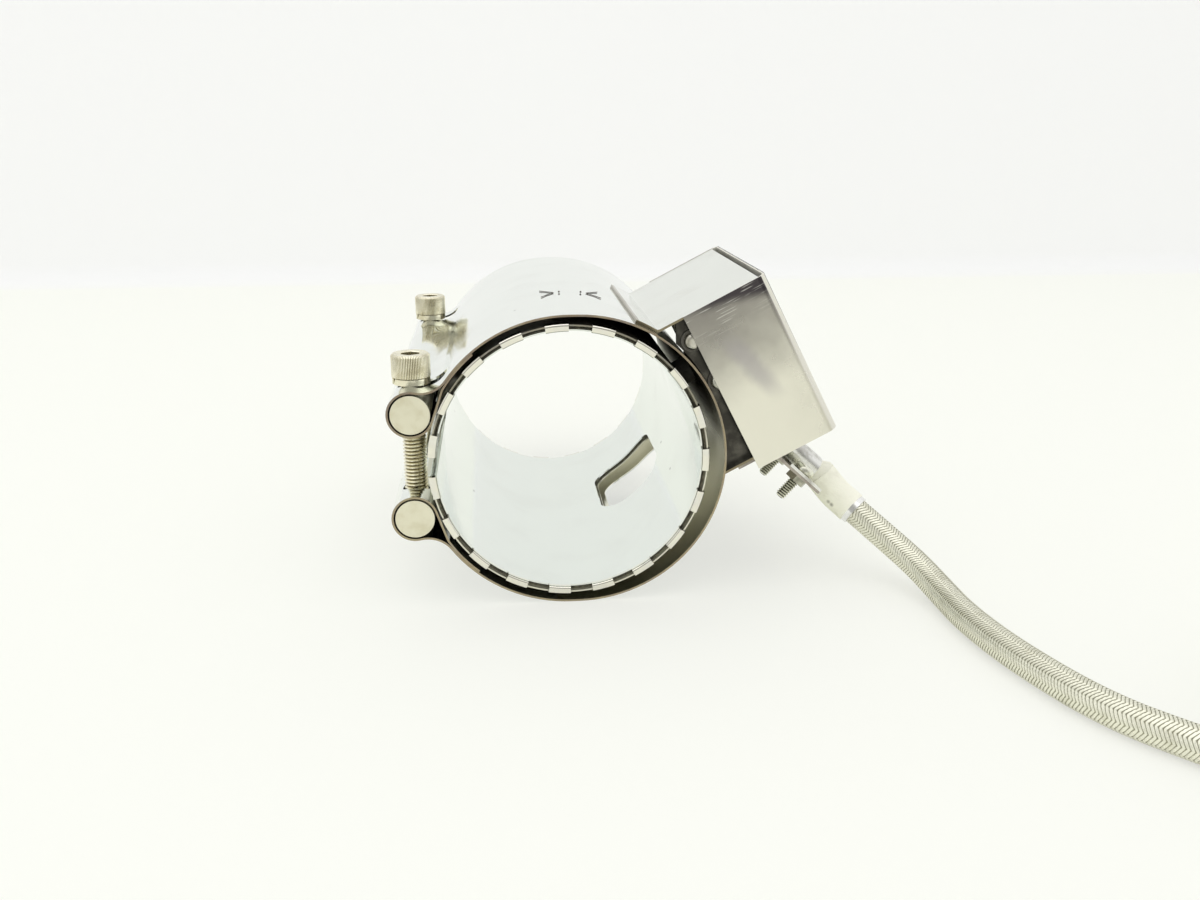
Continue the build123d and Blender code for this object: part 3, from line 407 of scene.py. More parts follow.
# %% [markdown]
# Polished stainless sheet: nearly a mirror, faintly green, with soft waves that bend its reflections. The
# strap's cut edges have taken on a bronze tint, and the folded tabs of the bore sheath show heat colours. The
# strap's inner face, next to the hot band, is warm and bright below; above, it is matt black, which is
# painted shade in the narrow gap. It is found by its distance from the strap's axis.

# %% Polished sheets
HALF_STRAP = 0.0758
HALF_BAND = 0.0762
TAB_HOOK = 0.0032
EDGE_DEPTH = 0.00006
STRAP_STAND_OFF = 0.0029
STRAP_MIDDLE_RADIUS = 0.04965
NOWHERE = 0.0
BORE_TONE = (0.80, 0.84, 0.80, 1)
STRAP_TONE = (0.83, 0.86, 0.83, 1)
TAB_TONES = ((0.84, 0.83, 0.73, 1), (0.84, 0.83, 0.73, 1))
STRAP_EDGE_TONES = ((0.33, 0.28, 0.17, 1), (0.22, 0.175, 0.115, 1))
SMUDGE_TONE = (0.60, 0.60, 0.56, 1)
SMUDGE_SHARE = 0.10
SPECK_TONE = (0.10, 0.09, 0.08, 1)
SPECK_SHARE = 0.75
POLISH = (0.07, 0.17)
SHEET_ROLLING = 0.02
SHEET_BUMP = (0.25, 0.0006)
METAL_SPECULAR = 0.5
EDGE_TINT = 0.15
EDGE_TINT_SCALE = 160.0
HEATED_TONE = (0.82, 0.81, 0.69, 1)
# Painted shade: the near-black matt tone and roughness of the strap's inner face above, in the narrow gap.
PAINTED_SHADE_TONE = (0.07, 0.065, 0.05, 1)
UPPER_SHARE_START = 0.0
UPPER_SHARE_END = 0.022
HEATED_ROUGHNESS = 0.18
PAINTED_SHADE_ROUGHNESS = 0.75
INNER_WAVES = 2.5
SHEATH_TONES = ((0.74, 0.73, 0.60, 1), (0.26, 0.25, 0.19, 1))
SHEATH_TINT = 0.12
SHEATH_TINT_SCALE = 90.0
FLAKE_STRETCH = (700.0, 700.0, 700.0)
FLAKE_BUMP = (0.5, 0.0003)
FLAKE_COLOURS = ((0.3, (0.075, 0.07, 0.05)), (0.7, (0.24, 0.225, 0.165)))


def inside_radius(tree, vector, radius):
    """1 nearer than the radius to the strap's axis, which runs along Y, else 0."""
    from_axis = place(tree, "ShaderNodeMapping", {"Vector": vector, "Location": (-STRAP_STAND_OFF, 0, 0)})
    flat = place(tree, "ShaderNodeMapping", {"Vector": from_axis.outputs[0], "Scale": (1, 0, 1)}).outputs[0]
    distance = place(tree, "ShaderNodeVectorMath", {0: flat}, operation="LENGTH").outputs["Value"]
    return maths(tree, "LESS_THAN", distance, radius)


def upper_share(tree, vector):
    """0 on the lower half of the heater, rising to 1 above; it darkens the upper part, which on the strap's
    inner face is painted shade.
    """
    height = place(tree, "ShaderNodeSeparateXYZ", {0: vector}).outputs["Z"]
    return soft_step(tree, height, UPPER_SHARE_START, UPPER_SHARE_END)


def polished_sheet(name, tone, edge_tones, half_width, edge_depth, heated_radius):
    """Mirror steel with specks, smudges, a tinted cut edge and a heated inner face, both darker above; the
    inner face's black upper part is painted shade.
    """
    material, tree, shader, spot = start_material(name)
    marks = use_group(tree, rolled_sheet, {"Vector": spot["Object"], "Lines": SHEET_ROLLING})
    above = upper_share(tree, spot["Object"])
    edge_inputs = {"Vector": spot["Object"], "Half width": half_width, "Depth": edge_depth}
    edge = use_group(tree, cut_edge, edge_inputs)["Mask"]
    edge_tone = mix_colours(tree, above, *edge_tones)
    tint_inputs = {"Base": edge_tone, "Amount": EDGE_TINT, "Scale": EDGE_TINT_SCALE}
    tinted = use_group(tree, heat_tint, {"Vector": spot["Object"], **tint_inputs})["Color"]
    worn = mix_colours(tree, maths(tree, "MULTIPLY", marks["Smudge"], SMUDGE_SHARE), tone, SMUDGE_TONE)
    worn = mix_colours(tree, maths(tree, "MULTIPLY", marks["Speck"], SPECK_SHARE), worn, SPECK_TONE)
    inner = inside_radius(tree, spot["Object"], heated_radius)
    # Inner face: heated steel below; above, a near-black tone that is painted shade in the narrow gap.
    worn = mix_colours(tree, inner, worn, mix_colours(tree, above, HEATED_TONE, PAINTED_SHADE_TONE))
    tree.links.new(mix_colours(tree, edge, worn, tinted), shader.inputs["Base Color"])
    # In the painted shade zone the face has no metal and no specular, so it stays dark.
    painted_shade = maths(tree, "MULTIPLY", inner, above)
    tree.links.new(maths(tree, "SUBTRACT", 1.0, painted_shade), shader.inputs["Metallic"])
    tree.links.new(between(tree, painted_shade, METAL_SPECULAR, 0.0), shader.inputs["Specular IOR Level"])
    rough = between(tree, marks["Smudge"], *POLISH)
    inner_rough = maths(tree, "MULTIPLY", inner, between(tree, above, HEATED_ROUGHNESS, PAINTED_SHADE_ROUGHNESS))
    rough = maths(tree, "MAXIMUM", rough, inner_rough)
    tree.links.new(rough, shader.inputs["Roughness"])
    waves = maths(tree, "MULTIPLY", marks["Height"], between(tree, inner, 1.0, INNER_WAVES))
    bump(tree, shader, waves, *SHEET_BUMP)
    return material


bore_steel = polished_sheet("bore_steel", BORE_TONE, TAB_TONES, HALF_BAND, TAB_HOOK, NOWHERE)
strap_steel = polished_sheet(
    "strap_steel", STRAP_TONE, STRAP_EDGE_TONES, HALF_STRAP, EDGE_DEPTH, STRAP_MIDDLE_RADIUS
)
paint(bore_steel, "inner_sheath")
paint(strap_steel, "clamp_strap")


def heated_sheet():
    """The outer sheath: olive and dull from years of heat, darker above."""
    material, tree, shader, spot = start_material("heated_sheet", Metallic=0.8, Roughness=0.30)
    olive = mix_colours(tree, upper_share(tree, spot["Object"]), *SHEATH_TONES)
    tint_inputs = {"Base": olive, "Amount": SHEATH_TINT, "Scale": SHEATH_TINT_SCALE}
    tinted = use_group(tree, heat_tint, {"Vector": spot["Object"], **tint_inputs})["Color"]
    tree.links.new(tinted, shader.inputs["Base Color"])
    return material


def mica_board():
    """Pressed mica: dark, flaky and matt."""
    material, tree, shader, spot = start_material("mica_board", Roughness=0.85)
    flakes = noise(tree, stretched(tree, spot["Object"], FLAKE_STRETCH), 1.0, 4.0)
    tree.links.new(colour_ramp(tree, flakes, FLAKE_COLOURS), shader.inputs["Base Color"])
    bump(tree, shader, flakes, *FLAKE_BUMP)
    return material


paint(heated_sheet(), "outer_sheath")
paint(mica_board(), "inner_insulation", "outer_insulation", "heating_ribbon")

# %% [markdown]
# The terminal box is plainer sheet. Its walls are bright, with bronze cut edges; the dark strip along the end
# of each foot is that cut edge and the painted shadow line under it. Its cover is clouded by heat: grey above
# and cream below, with a slanting violet cloud, and nearly black along the upper edge, where it is scratched.
# The clouds are placed by the share of the way out from the strap and down the cover's face.

# %% Terminal box
BOX_TURN = math.radians(27.5)
BOX_FRONT_Y = -0.0693
TOP_FOOT_END = 0.0318
BOTTOM_FOOT_END = -0.0356
FOOT_SHADOW_STRIP = 0.0004
COVER_START = 0.0530
COVER_REACH = 0.0835
COVER_TOP = 0.0260
COVER_BOTTOM = -0.0337
COVER_FRONT_Y = -0.0705
COVER_REAR_Y = 0.0115
HALF_COVER_SHEET = 0.0004
BOX_ROLLING = 0.05
BOX_BUMP = (0.2, 0.0005)
WALL_TONE = (0.78, 0.80, 0.76, 1)
WALL_SMUDGE_TONE = (0.58, 0.56, 0.50, 1)
WALL_SMUDGE_SHARE = 0.25
# Cut edge bronze, also used for the painted shadow line along the foot ends.
EDGE_AND_SHADOW_TONE = (0.24, 0.205, 0.135, 1)
WALL_POLISH = (0.10, 0.22)
COVER_POLISH = (0.20, 0.32)
INSIDE_ROUGHNESS = 0.5
INSIDE_METAL = 0.4
INSIDE_TONE = (0.80, 0.78, 0.70, 1)
CREAM_TONE = (0.80, 0.78, 0.67, 1)
GREY_TONE = (0.30, 0.285, 0.255, 1)
GREY_RISE = (0.66, 0.04)
CLOUD_SCALE = 60.0
CLOUD_WANDER = 0.16
VIOLET_TONE = (0.36, 0.335, 0.36, 1)
VIOLET_SHARE = 0.5
VIOLET_SLANT = 0.54
VIOLET_START = 0.20
VIOLET_MIDDLE = 0.43
VIOLET_UNEVEN = 0.5
VIOLET_WIDTH = (0.17, 0.02)
VIOLET_LENGTH = (0.28, 0.08)
BURNT_TONE = (0.05, 0.042, 0.05, 1)
BURNT_SHARE = 0.92
BURNT_SLANT = -0.13
BURNT_UNEVEN = 0.3
BURNT_RISE = (0.03, -0.05)
SCRATCH_STRETCH = (90.0, 90.0, 2200.0)
SCRATCH_TONE = (0.80, 0.79, 0.74, 1)
SCRATCH_SHARE = 0.4
SCRATCH_RISE = (0.60, 0.68)
SCRATCH_REACH = (0.25, 0.05)
STREAK_STRETCH = (1500.0, 1500.0, 9.0)
STREAK_TONE = (0.86, 0.85, 0.78, 1)
STREAK_SHARE = 0.55
STREAK_RISE = (0.52, 0.64)
BEND_REACH = (0.80, 0.92)


def box_coordinates(tree, vector):
    """Object coordinates turned into the box's own: X out, Y along the bore, Z across."""
    inputs = {"Vector": vector, "Location": (-STRAP_STAND_OFF, 0, 0)}
    moved = place(tree, "ShaderNodeMapping", inputs).outputs[0]
    return place(tree, "ShaderNodeMapping", {"Vector": moved, "Rotation": (0, BOX_TURN, 0)}).outputs[0]


def box_wall():
    """Bright rolled sheet with faint streaks and bronze cut edges; the strips at the foot ends are partly
    painted shadow.
    """
    material, tree, shader, spot = start_material("box_wall", Metallic=1.0)
    turned = box_coordinates(tree, spot["Object"])
    marks = use_group(tree, rolled_sheet, {"Vector": turned, "Lines": BOX_ROLLING})
    smudged = maths(tree, "MULTIPLY", marks["Smudge"], WALL_SMUDGE_SHARE)
    colour = mix_colours(tree, smudged, WALL_TONE, WALL_SMUDGE_TONE)
    place_of = place(tree, "ShaderNodeSeparateXYZ", {0: turned}).outputs
    # Dark strips at the foot ends: the cut edge and the painted shadow line under it; the front strip is cut
    # edge only.
    top_foot_shadow = soft_step(tree, place_of["Z"], TOP_FOOT_END - FOOT_SHADOW_STRIP, TOP_FOOT_END)
    bottom_foot_shadow = soft_step(tree, place_of["Z"], BOTTOM_FOOT_END + FOOT_SHADOW_STRIP, BOTTOM_FOOT_END)
    front = soft_step(tree, place_of["Y"], BOX_FRONT_Y + EDGE_DEPTH, BOX_FRONT_Y)
    edge = maths(tree, "MAXIMUM", front, maths(tree, "MAXIMUM", top_foot_shadow, bottom_foot_shadow))
    colour = mix_colours(tree, edge, colour, EDGE_AND_SHADOW_TONE)
    tree.links.new(colour, shader.inputs["Base Color"])
    tree.links.new(between(tree, marks["Smudge"], *WALL_POLISH), shader.inputs["Roughness"])
    bump(tree, shader, marks["Height"], *BOX_BUMP)
    return material


def violet_cloud(tree, outwards, down, wander):
    """1 along the middle of the slanting cloud, else 0."""
    middle = maths(tree, "MULTIPLY_ADD", down, VIOLET_SLANT, VIOLET_START)
    off_band = maths(tree, "ABSOLUTE", maths(tree, "SUBTRACT", outwards, middle))
    off_middle = maths(tree, "ABSOLUTE", maths(tree, "SUBTRACT", down, VIOLET_MIDDLE))
    uneven = maths(tree, "MULTIPLY_ADD", wander, VIOLET_UNEVEN, off_band)
    near_band = soft_step(tree, uneven, *VIOLET_WIDTH)
    return maths(tree, "MULTIPLY", near_band, soft_step(tree, off_middle, *VIOLET_LENGTH))


def cover_clouds(tree, turned, outwards, down):
    """The cover's colours from the shares outwards and down its face."""
    wander = between(tree, noise(tree, turned, CLOUD_SCALE, 3.0), -CLOUD_WANDER, CLOUD_WANDER)
    grey = soft_step(tree, maths(tree, "ADD", down, wander), *GREY_RISE)
    colour = mix_colours(tree, grey, CREAM_TONE, GREY_TONE)
    violet = maths(tree, "MULTIPLY", violet_cloud(tree, outwards, down, wander), VIOLET_SHARE)
    colour = mix_colours(tree, violet, colour, VIOLET_TONE)
    uneven_down = maths(tree, "MULTIPLY_ADD", wander, BURNT_UNEVEN, down)
    from_edge = maths(tree, "MULTIPLY_ADD", outwards, BURNT_SLANT, uneven_down)
    burnt = maths(tree, "MULTIPLY", soft_step(tree, from_edge, *BURNT_RISE), BURNT_SHARE)
    colour = mix_colours(tree, burnt, colour, BURNT_TONE)
    scratch = soft_step(tree, noise(tree, stretched(tree, turned, SCRATCH_STRETCH), 1.0), *SCRATCH_RISE)
    scratched = maths(tree, "MULTIPLY", scratch, soft_step(tree, down, *SCRATCH_REACH))
    colour = mix_colours(tree, maths(tree, "MULTIPLY", scratched, SCRATCH_SHARE), colour, SCRATCH_TONE)
    streak = soft_step(tree, noise(tree, stretched(tree, turned, STREAK_STRETCH), 1.0), *STREAK_RISE)
    streaked = maths(tree, "MULTIPLY", streak, soft_step(tree, outwards, *BEND_REACH))
    return mix_colours(tree, maths(tree, "MULTIPLY", streaked, STREAK_SHARE), colour, STREAK_TONE)


def cover_inside(tree, place_of):
    """1 on the cover's inner faces, else 0."""
    below_plate = maths(tree, "LESS_THAN", place_of["X"], COVER_REACH - HALF_COVER_SHEET)
    behind_front = maths(tree, "GREATER_THAN", place_of["Y"], COVER_FRONT_Y + HALF_COVER_SHEET)
    before_rear = maths(tree, "LESS_THAN", place_of["Y"], COVER_REAR_Y - HALF_COVER_SHEET)
    return maths(tree, "MULTIPLY", below_plate, maths(tree, "MULTIPLY", behind_front, before_rear))


def cover_sheet():
    """Heat-clouded sheet, polished outside and dull inside."""
    material, tree, shader, spot = start_material("cover_sheet")
    turned = box_coordinates(tree, spot["Object"])
    place_of = place(tree, "ShaderNodeSeparateXYZ", {0: turned}).outputs
    outwards = share_of_way(tree, place_of["X"], COVER_START, COVER_REACH)
    down = share_of_way(tree, place_of["Z"], COVER_TOP, COVER_BOTTOM)
    inside = cover_inside(tree, place_of)
    marks = use_group(tree, rolled_sheet, {"Vector": turned, "Lines": BOX_ROLLING})
    colour = mix_colours(tree, inside, cover_clouds(tree, turned, outwards, down), INSIDE_TONE)
    outer_rough = between(tree, marks["Smudge"], *COVER_POLISH)
    rough = maths(tree, "MAXIMUM", outer_rough, maths(tree, "MULTIPLY", inside, INSIDE_ROUGHNESS))
    tree.links.new(colour, shader.inputs["Base Color"])
    tree.links.new(rough, shader.inputs["Roughness"])
    tree.links.new(between(tree, inside, 1.0, INSIDE_METAL), shader.inputs["Metallic"])
    bump(tree, shader, marks["Height"], *BOX_BUMP)
    return material


paint(box_wall(), "top_bracket", "bottom_bracket")
paint(cover_sheet(), "box_cover")

# %% [markdown]
# The turned barrels are nickel plated, cream and satin. Screws and washers are zinc plated, a little darker,
# and the small pins on the strap are dark. The terminal panel is nearly black: heat stain, and painted shade
# of the box's interior. The same recipe serves them all with other tones. Where a mesh carries a crest value,
# 1 on a thread's or knurl's crest and 0 in its grooves, the grooves are darker: painted shade.

# %% Plated pieces
WEAR_SCALE = 210.0
WEAR_RISE = (0.42, 0.72)
GRAIN_SCALE = 2600.0
GRAIN_BUMP = (0.08, 0.0002)
GROOVE_SHADE_RISE = (0.0, 0.55)
SMOOTHER = 0.06
ROUGHER = 0.10


def plated(name, tone, worn_tone, roughness, groove_shade_tone=None):
    """Plated metal with cloudy wear and fine grain, and with painted shade in the grooves where a tone is
    given for it.
    """
    material, tree, shader, spot = start_material(name, Metallic=1.0)
    cloud = noise(tree, spot["Object"], WEAR_SCALE, 4.0)
    grain = noise(tree, spot["Object"], GRAIN_SCALE)
    colour = mix_colours(tree, soft_step(tree, cloud, *WEAR_RISE), tone, worn_tone)
    if groove_shade_tone:
        # Painted shade: threads' and knurls' grooves darkened towards the groove tone.
        crest = place(tree, "ShaderNodeAttribute", attribute_name="crest").outputs["Fac"]
        colour = mix_colours(tree, soft_step(tree, crest, *GROOVE_SHADE_RISE), groove_shade_tone, colour)
    tree.links.new(colour, shader.inputs["Base Color"])
    rough = between(tree, cloud, roughness - SMOOTHER, roughness + ROUGHER)
    tree.links.new(rough, shader.inputs["Roughness"])
    bump(tree, shader, grain, *GRAIN_BUMP)
    return material


barrel_nickel = plated("barrel_nickel", (0.82, 0.79, 0.62, 1), (0.74, 0.70, 0.52, 1), 0.34)
screw_zinc = plated("screw_zinc", (0.84, 0.80, 0.62, 1), (0.62, 0.57, 0.40, 1), 0.24)
# The last tone of each screw below is the painted shade in its grooves.
clamp_screw_zinc = plated(
    "clamp_screw_zinc", (0.88, 0.84, 0.67, 1), (0.70, 0.65, 0.48, 1), 0.24, (0.26, 0.225, 0.13, 1)
)
saddle_screw_zinc = plated(
    "saddle_screw_zinc", (0.82, 0.82, 0.70, 1), (0.60, 0.60, 0.50, 1), 0.24, (0.10, 0.10, 0.085, 1)
)
saddle_nut_zinc = plated("saddle_nut_zinc", (0.46, 0.455, 0.37, 1), (0.28, 0.275, 0.22, 1), 0.24)
clamp_bright = plated("clamp_bright", (0.78, 0.78, 0.74, 1), (0.48, 0.47, 0.43, 1), 0.16)
tongue_bronze = plated("tongue_bronze", (0.42, 0.385, 0.335, 1), (0.25, 0.225, 0.195, 1), 0.24)
dark_pin = plated("dark_pin", (0.10, 0.09, 0.08, 1), (0.20, 0.18, 0.16, 1), 0.4)
# Terminal panel: nearly black, heat stain and painted shade of the box's interior.
stained_shaded_panel = plated("stained_shaded_panel", (0.05, 0.047, 0.04, 1), (0.12, 0.113, 0.095, 1), 0.3)
terminal_nickel = plated("terminal_nickel", (0.66, 0.64, 0.56, 1), (0.40, 0.37, 0.30, 1), 0.3)
ferrule_bright = plated("ferrule_bright", (0.88, 0.88, 0.86, 1), (0.70, 0.70, 0.66, 1), 0.18)
paint(barrel_nickel, "upper_barrel_front", "upper_barrel_rear", "lower_barrel_front", "lower_barrel_rear")
paint(screw_zinc, "lock_washer_front", "lock_washer_rear")
paint(saddle_nut_zinc, "saddle_nuts")
paint(clamp_bright, "cable_saddle")
paint(tongue_bronze, "clamp_tongue")
paint(dark_pin, "strap_pins")
paint(stained_shaded_panel, "terminal_panel")
paint(
    terminal_nickel, "terminal_screws", "terminal_nuts", "heater_ring_terminals", "supply_ring_terminals"
)
paint(ferrule_bright, "braid_ferrule", "end_ferrule")

# %% [markdown]
# Screws are turned bodies: rings of points up an axis, with the thread's or the knurl's relief in the rings'
# radius, closed by one point at either end. A screw is two such bodies, its shank and its head. They stand in
# for the plain solids of the clamp screws and of the saddle's screws. Each point also carries its crest value
# for the material.

# %% Screws
CLAMP_SCREW_X = -0.0520585
CLAMP_SCREW_Y = 0.0618
CLAMP_SCREW_SEAT = 0.0277
CLAMP_SCREW_LENGTH = 0.050
CLAMP_SCREW_RADIUS = 0.004
CLAMP_SCREW_PITCH = 0.00125
CAP_RADIUS = 0.0065
CAP_HEIGHT = 0.008
CAP_CHAMFER = 0.0007
SOCKET_ACROSS = 0.006
SOCKET_DEPTH = 0.004
SOCKET_CONE = 0.0008
KNURLS = 72
KNURL_POINTS = 6
KNURL_DEPTH = 0.00038
EDGE_BREAK = 0.0003
SADDLE_SCREW_PLACES = ((0.083061, -0.063, -0.009480), (0.083061, -0.037, -0.009480))
SADDLE_SCREW_ALONG = (0.743145, 0.0, -0.669131)
SADDLE_SCREW_UP = (0.669131, 0.0, 0.743145)
SADDLE_SCREW_LENGTH = 0.012
SADDLE_SCREW_RADIUS = 0.002
SADDLE_SCREW_PITCH = 0.0009
PAN_RADIUS = 0.0038
PAN_HEIGHT = 0.0028
PAN_ROUNDING = 0.0020
PAN_POINTS = 96
CROSS_ARM = 0.0019
CROSS_NECK = 0.0006
CROSS_HALF_ANGLE = 0.25
CROSS_DEPTH = 0.0013
THREAD_POINTS = 48
THREAD_ROWS_A_PITCH = 10
THREAD_DEPTH_SHARE = 0.6
FLANK_SLOPE = 1.3
CREST_FLAT = 0.15
CROSS_TAPER = 0.6
SHARP_ANGLE = math.radians(32)


def turns(count):
    """Angles of evenly spaced points round an axis."""
    return 2 * math.pi * np.arange(count) / count


def turned_body(radii, heights, start_height, end_height, crest):
    """Points, quads, triangles and crest values of rings (rows, columns), closed by a point at each end."""
    rows, columns = radii.shape
    angle = turns(columns)[None, :]
    heights = np.broadcast_to(np.asarray(heights)[:, None], radii.shape)
    rings = np.stack([radii * np.cos(angle), radii * np.sin(angle), heights], axis=-1)
    points = np.concatenate([rings.reshape(-1, 3), [[0, 0, start_height], [0, 0, end_height]]])
    here = np.arange(columns)
    after = (here + 1) % columns
    low = np.arange(rows - 1)[:, None] * columns
    quads = np.stack([low + here, low + after, low + columns + after, low + columns + here], axis=-1)
    last = (rows - 1) * columns
    start_fan = np.stack([after, here, np.full(columns, rows * columns)], axis=-1)
    end_fan = np.stack([last + here, last + after, np.full(columns, rows * columns + 1)], axis=-1)
    crests = np.concatenate([crest.ravel(), crest[0, :1], crest[-1, :1]])
    return points, quads.reshape(-1, 4), np.concatenate([start_fan, end_fan]), crests


def threaded_shank(radius, pitch, length):
    """A shank below height 0 with a right-hand thread and a tapered tip."""
    rows = round(length / pitch * THREAD_ROWS_A_PITCH)
    height = np.linspace(-length, 0, rows)
    phase = height[:, None] / pitch - np.arange(THREAD_POINTS)[None, :] / THREAD_POINTS
    flank = np.clip(FLANK_SLOPE * np.abs(2 * (phase % 1) - 1) - CREST_FLAT, 0, 1)
    threaded = radius - pitch * THREAD_DEPTH_SHARE * flank
    tip_limit = radius - pitch * THREAD_DEPTH_SHARE - EDGE_BREAK + (height + length)
    return turned_body(np.minimum(threaded, tip_limit[:, None]), height, -length, 0, 1 - flank)


def cap_head():
    """Knurled cap head with a hexagon socket."""
    angle = turns(KNURLS * KNURL_POINTS)
    groove = (1 - np.abs(np.sin(KNURLS * angle / 2))) ** 1.5
    side = CAP_RADIUS - KNURL_DEPTH * groove
    round_ring = np.ones_like(angle)
    hexagon = SOCKET_ACROSS / 2 / np.cos((angle + math.pi / 6) % (math.pi / 3) - math.pi / 6)
    rings = [
        (round_ring * (CAP_RADIUS - 2 * EDGE_BREAK), 0),
        (side, EDGE_BREAK),
        (side, CAP_HEIGHT - CAP_CHAMFER),
        (round_ring * (CAP_RADIUS - CAP_CHAMFER), CAP_HEIGHT),
        (hexagon + EDGE_BREAK, CAP_HEIGHT),
        (hexagon, CAP_HEIGHT - EDGE_BREAK),
        (hexagon, CAP_HEIGHT - SOCKET_DEPTH),
    ]
    radii, heights = zip(*rings)
    crest = np.ones((len(rings), len(angle)))
    crest[1:3] = 1 - groove
    crest[-1] = 0
    return turned_body(np.stack(radii), heights, 0, CAP_HEIGHT - SOCKET_DEPTH - SOCKET_CONE, crest)


def pan_head():
    """Rounded pan head with a cross recess."""
    angle = turns(PAN_POINTS)
    round_ring = np.ones_like(angle)
    to_arm = np.abs((angle + math.pi / 4) % (math.pi / 2) - math.pi / 4)
    cross = np.where(to_arm < CROSS_HALF_ANGLE, CROSS_ARM, CROSS_NECK)
    bend = np.linspace(0, math.pi / 2, 9)
    rings = [(round_ring * (PAN_RADIUS - EDGE_BREAK), 0), (round_ring * PAN_RADIUS, EDGE_BREAK)]
    for step in bend:
        ring = round_ring * (PAN_RADIUS - PAN_ROUNDING * (1 - math.cos(step)))
        rings.append((np.maximum(ring, cross), PAN_HEIGHT - PAN_ROUNDING * (1 - math.sin(step))))
    rings.append((cross, PAN_HEIGHT))
    rings.append((cross * CROSS_TAPER, PAN_HEIGHT - CROSS_DEPTH))
    radii, heights = zip(*rings)
    crest = np.ones((len(rings), len(angle)))
    crest[-1] = 0
    return turned_body(np.stack(radii), heights, 0, PAN_HEIGHT - CROSS_DEPTH - EDGE_BREAK, crest)


def set_at(body, seat, along, up):
    """A body moved to its seat, its X turned along one direction and its Z up another."""
    points, *rest = body
    axes = np.array([along, np.cross(up, along), up])
    return points @ axes + np.array(seat), *rest


def bodies_mesh(name, bodies):
    """One mesh of several turned bodies, sharp where its faces meet at a steep angle."""
    points, quads, triangles, crests = zip(*bodies)
    offsets = np.cumsum([0] + [len(body_points) for body_points in points])
    quads = np.concatenate([part + offset for part, offset in zip(quads, offsets)])
    triangles = np.concatenate([part + offset for part, offset in zip(triangles, offsets)])
    mesh = bpy.data.meshes.new(name)
    mesh.from_pydata(np.concatenate(points), [], quads.tolist() + triangles.tolist())
    crest = mesh.attributes.new("crest", "FLOAT", "POINT")
    crest.data.foreach_set("value", np.concatenate(crests).astype(np.float32))
    mesh.shade_smooth()
    mesh.set_sharp_from_angle(angle=SHARP_ANGLE)
    return mesh


def add_screw(name, bodies, material, rides, stands_for):
    """Link a screw, let it ride a body and stand in for its solid."""
    screw = add_piece(name, bodies_mesh(name, bodies), material)
    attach(screw, rides)
    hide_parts(stands_for)


clamp_screw = [threaded_shank(CLAMP_SCREW_RADIUS, CLAMP_SCREW_PITCH, CLAMP_SCREW_LENGTH), cap_head()]
for end, side in (("front", -1), ("rear", 1)):
    seat = (CLAMP_SCREW_X, side * CLAMP_SCREW_Y, CLAMP_SCREW_SEAT)
    placed = [set_at(body, seat, (1, 0, 0), (0, 0, 1)) for body in clamp_screw]
    add_screw("knurled_screw_" + end, placed, clamp_screw_zinc, end + "_screw", "clamp_screw_" + end)

saddle_screw = [threaded_shank(SADDLE_SCREW_RADIUS, SADDLE_SCREW_PITCH, SADDLE_SCREW_LENGTH), pan_head()]
placed = [
    set_at(body, seat, SADDLE_SCREW_ALONG, SADDLE_SCREW_UP)
    for seat in SADDLE_SCREW_PLACES
    for body in saddle_screw
]
add_screw("threaded_saddle_screws", placed, saddle_screw_zinc, "heater", "saddle_screws")

# %% [markdown]
# Insulation: washers and bushing gone dark with heat and darker still as painted shade of the terminal box's
# interior, cream woven sleeving on the leads, and the stiff glass-fibre sleeve on the cable with its dirty
# thumb marks.

# %% Insulating pieces
THUMB_MARKS = ((0.0964, -0.0572, -0.0242), (0.0955, -0.0564, -0.0233))
MARK_RADIUS = 0.0013
MARK_TONE = (0.14, 0.13, 0.10, 1)
MARK_SHARE = 0.85
THREAD_SCALE = 1500.0
THREAD_BUMP = (0.35, 0.0003)
DIRT_SCALE = 130.0
DIRT_RISE = (0.52, 0.7)


def near_any(tree, vector, points, radius):
    """1 at the points, falling to 0 at the radius round them."""
    near = 0.0
    for point in points:
        apart = place(tree, "ShaderNodeVectorMath", {0: vector, 1: point}, operation="DISTANCE")
        near = maths(tree, "MAXIMUM", near, soft_step(tree, apart.outputs["Value"], radius, 0.0))
    return near


def woven_sleeve(name, tone, dirt_tone, dirt, marks=()):
    """Matt woven glass with soft dirt, and dark marks at given points."""
    material, tree, shader, spot = start_material(name, Roughness=0.8, Specular_IOR_Level=0.3)
    threads = place(tree, "ShaderNodeTexVoronoi", {"Vector": spot["Object"], "Scale": THREAD_SCALE})
    cloud = noise(tree, spot["Object"], DIRT_SCALE, 4.0)
    soiled = maths(tree, "MULTIPLY", soft_step(tree, cloud, *DIRT_RISE), dirt)
    colour = mix_colours(tree, soiled, tone, dirt_tone)
    if marks:
        near = near_any(tree, spot["Object"], marks, MARK_RADIUS)
        colour = mix_colours(tree, maths(tree, "MULTIPLY", near, MARK_SHARE), colour, MARK_TONE)
    tree.links.new(colour, shader.inputs["Base Color"])
    bump(tree, shader, threads.outputs["Distance"], *THREAD_BUMP)
    return material


glass_sleeve = woven_sleeve(
    "glass_sleeve", (1.0, 0.99, 0.86, 1), (0.62, 0.60, 0.47, 1), 0.26, THUMB_MARKS
)
lead_sleeving = woven_sleeve("lead_sleeving", (0.78, 0.75, 0.63, 1), (0.5, 0.47, 0.38, 1), 0.3)
# Insulators and bushing: heat-darkened, and darker still as painted shade of the terminal box's interior.
ceramic = woven_sleeve("ceramic", (0.16, 0.15, 0.13, 1), (0.09, 0.085, 0.07, 1), 0.4)
paint(glass_sleeve, "cable_sleeve")
paint(lead_sleeving, "heater_leads", "supply_leads", "lead_tails")
paint(ceramic, "terminal_insulators", "lead_bushing")

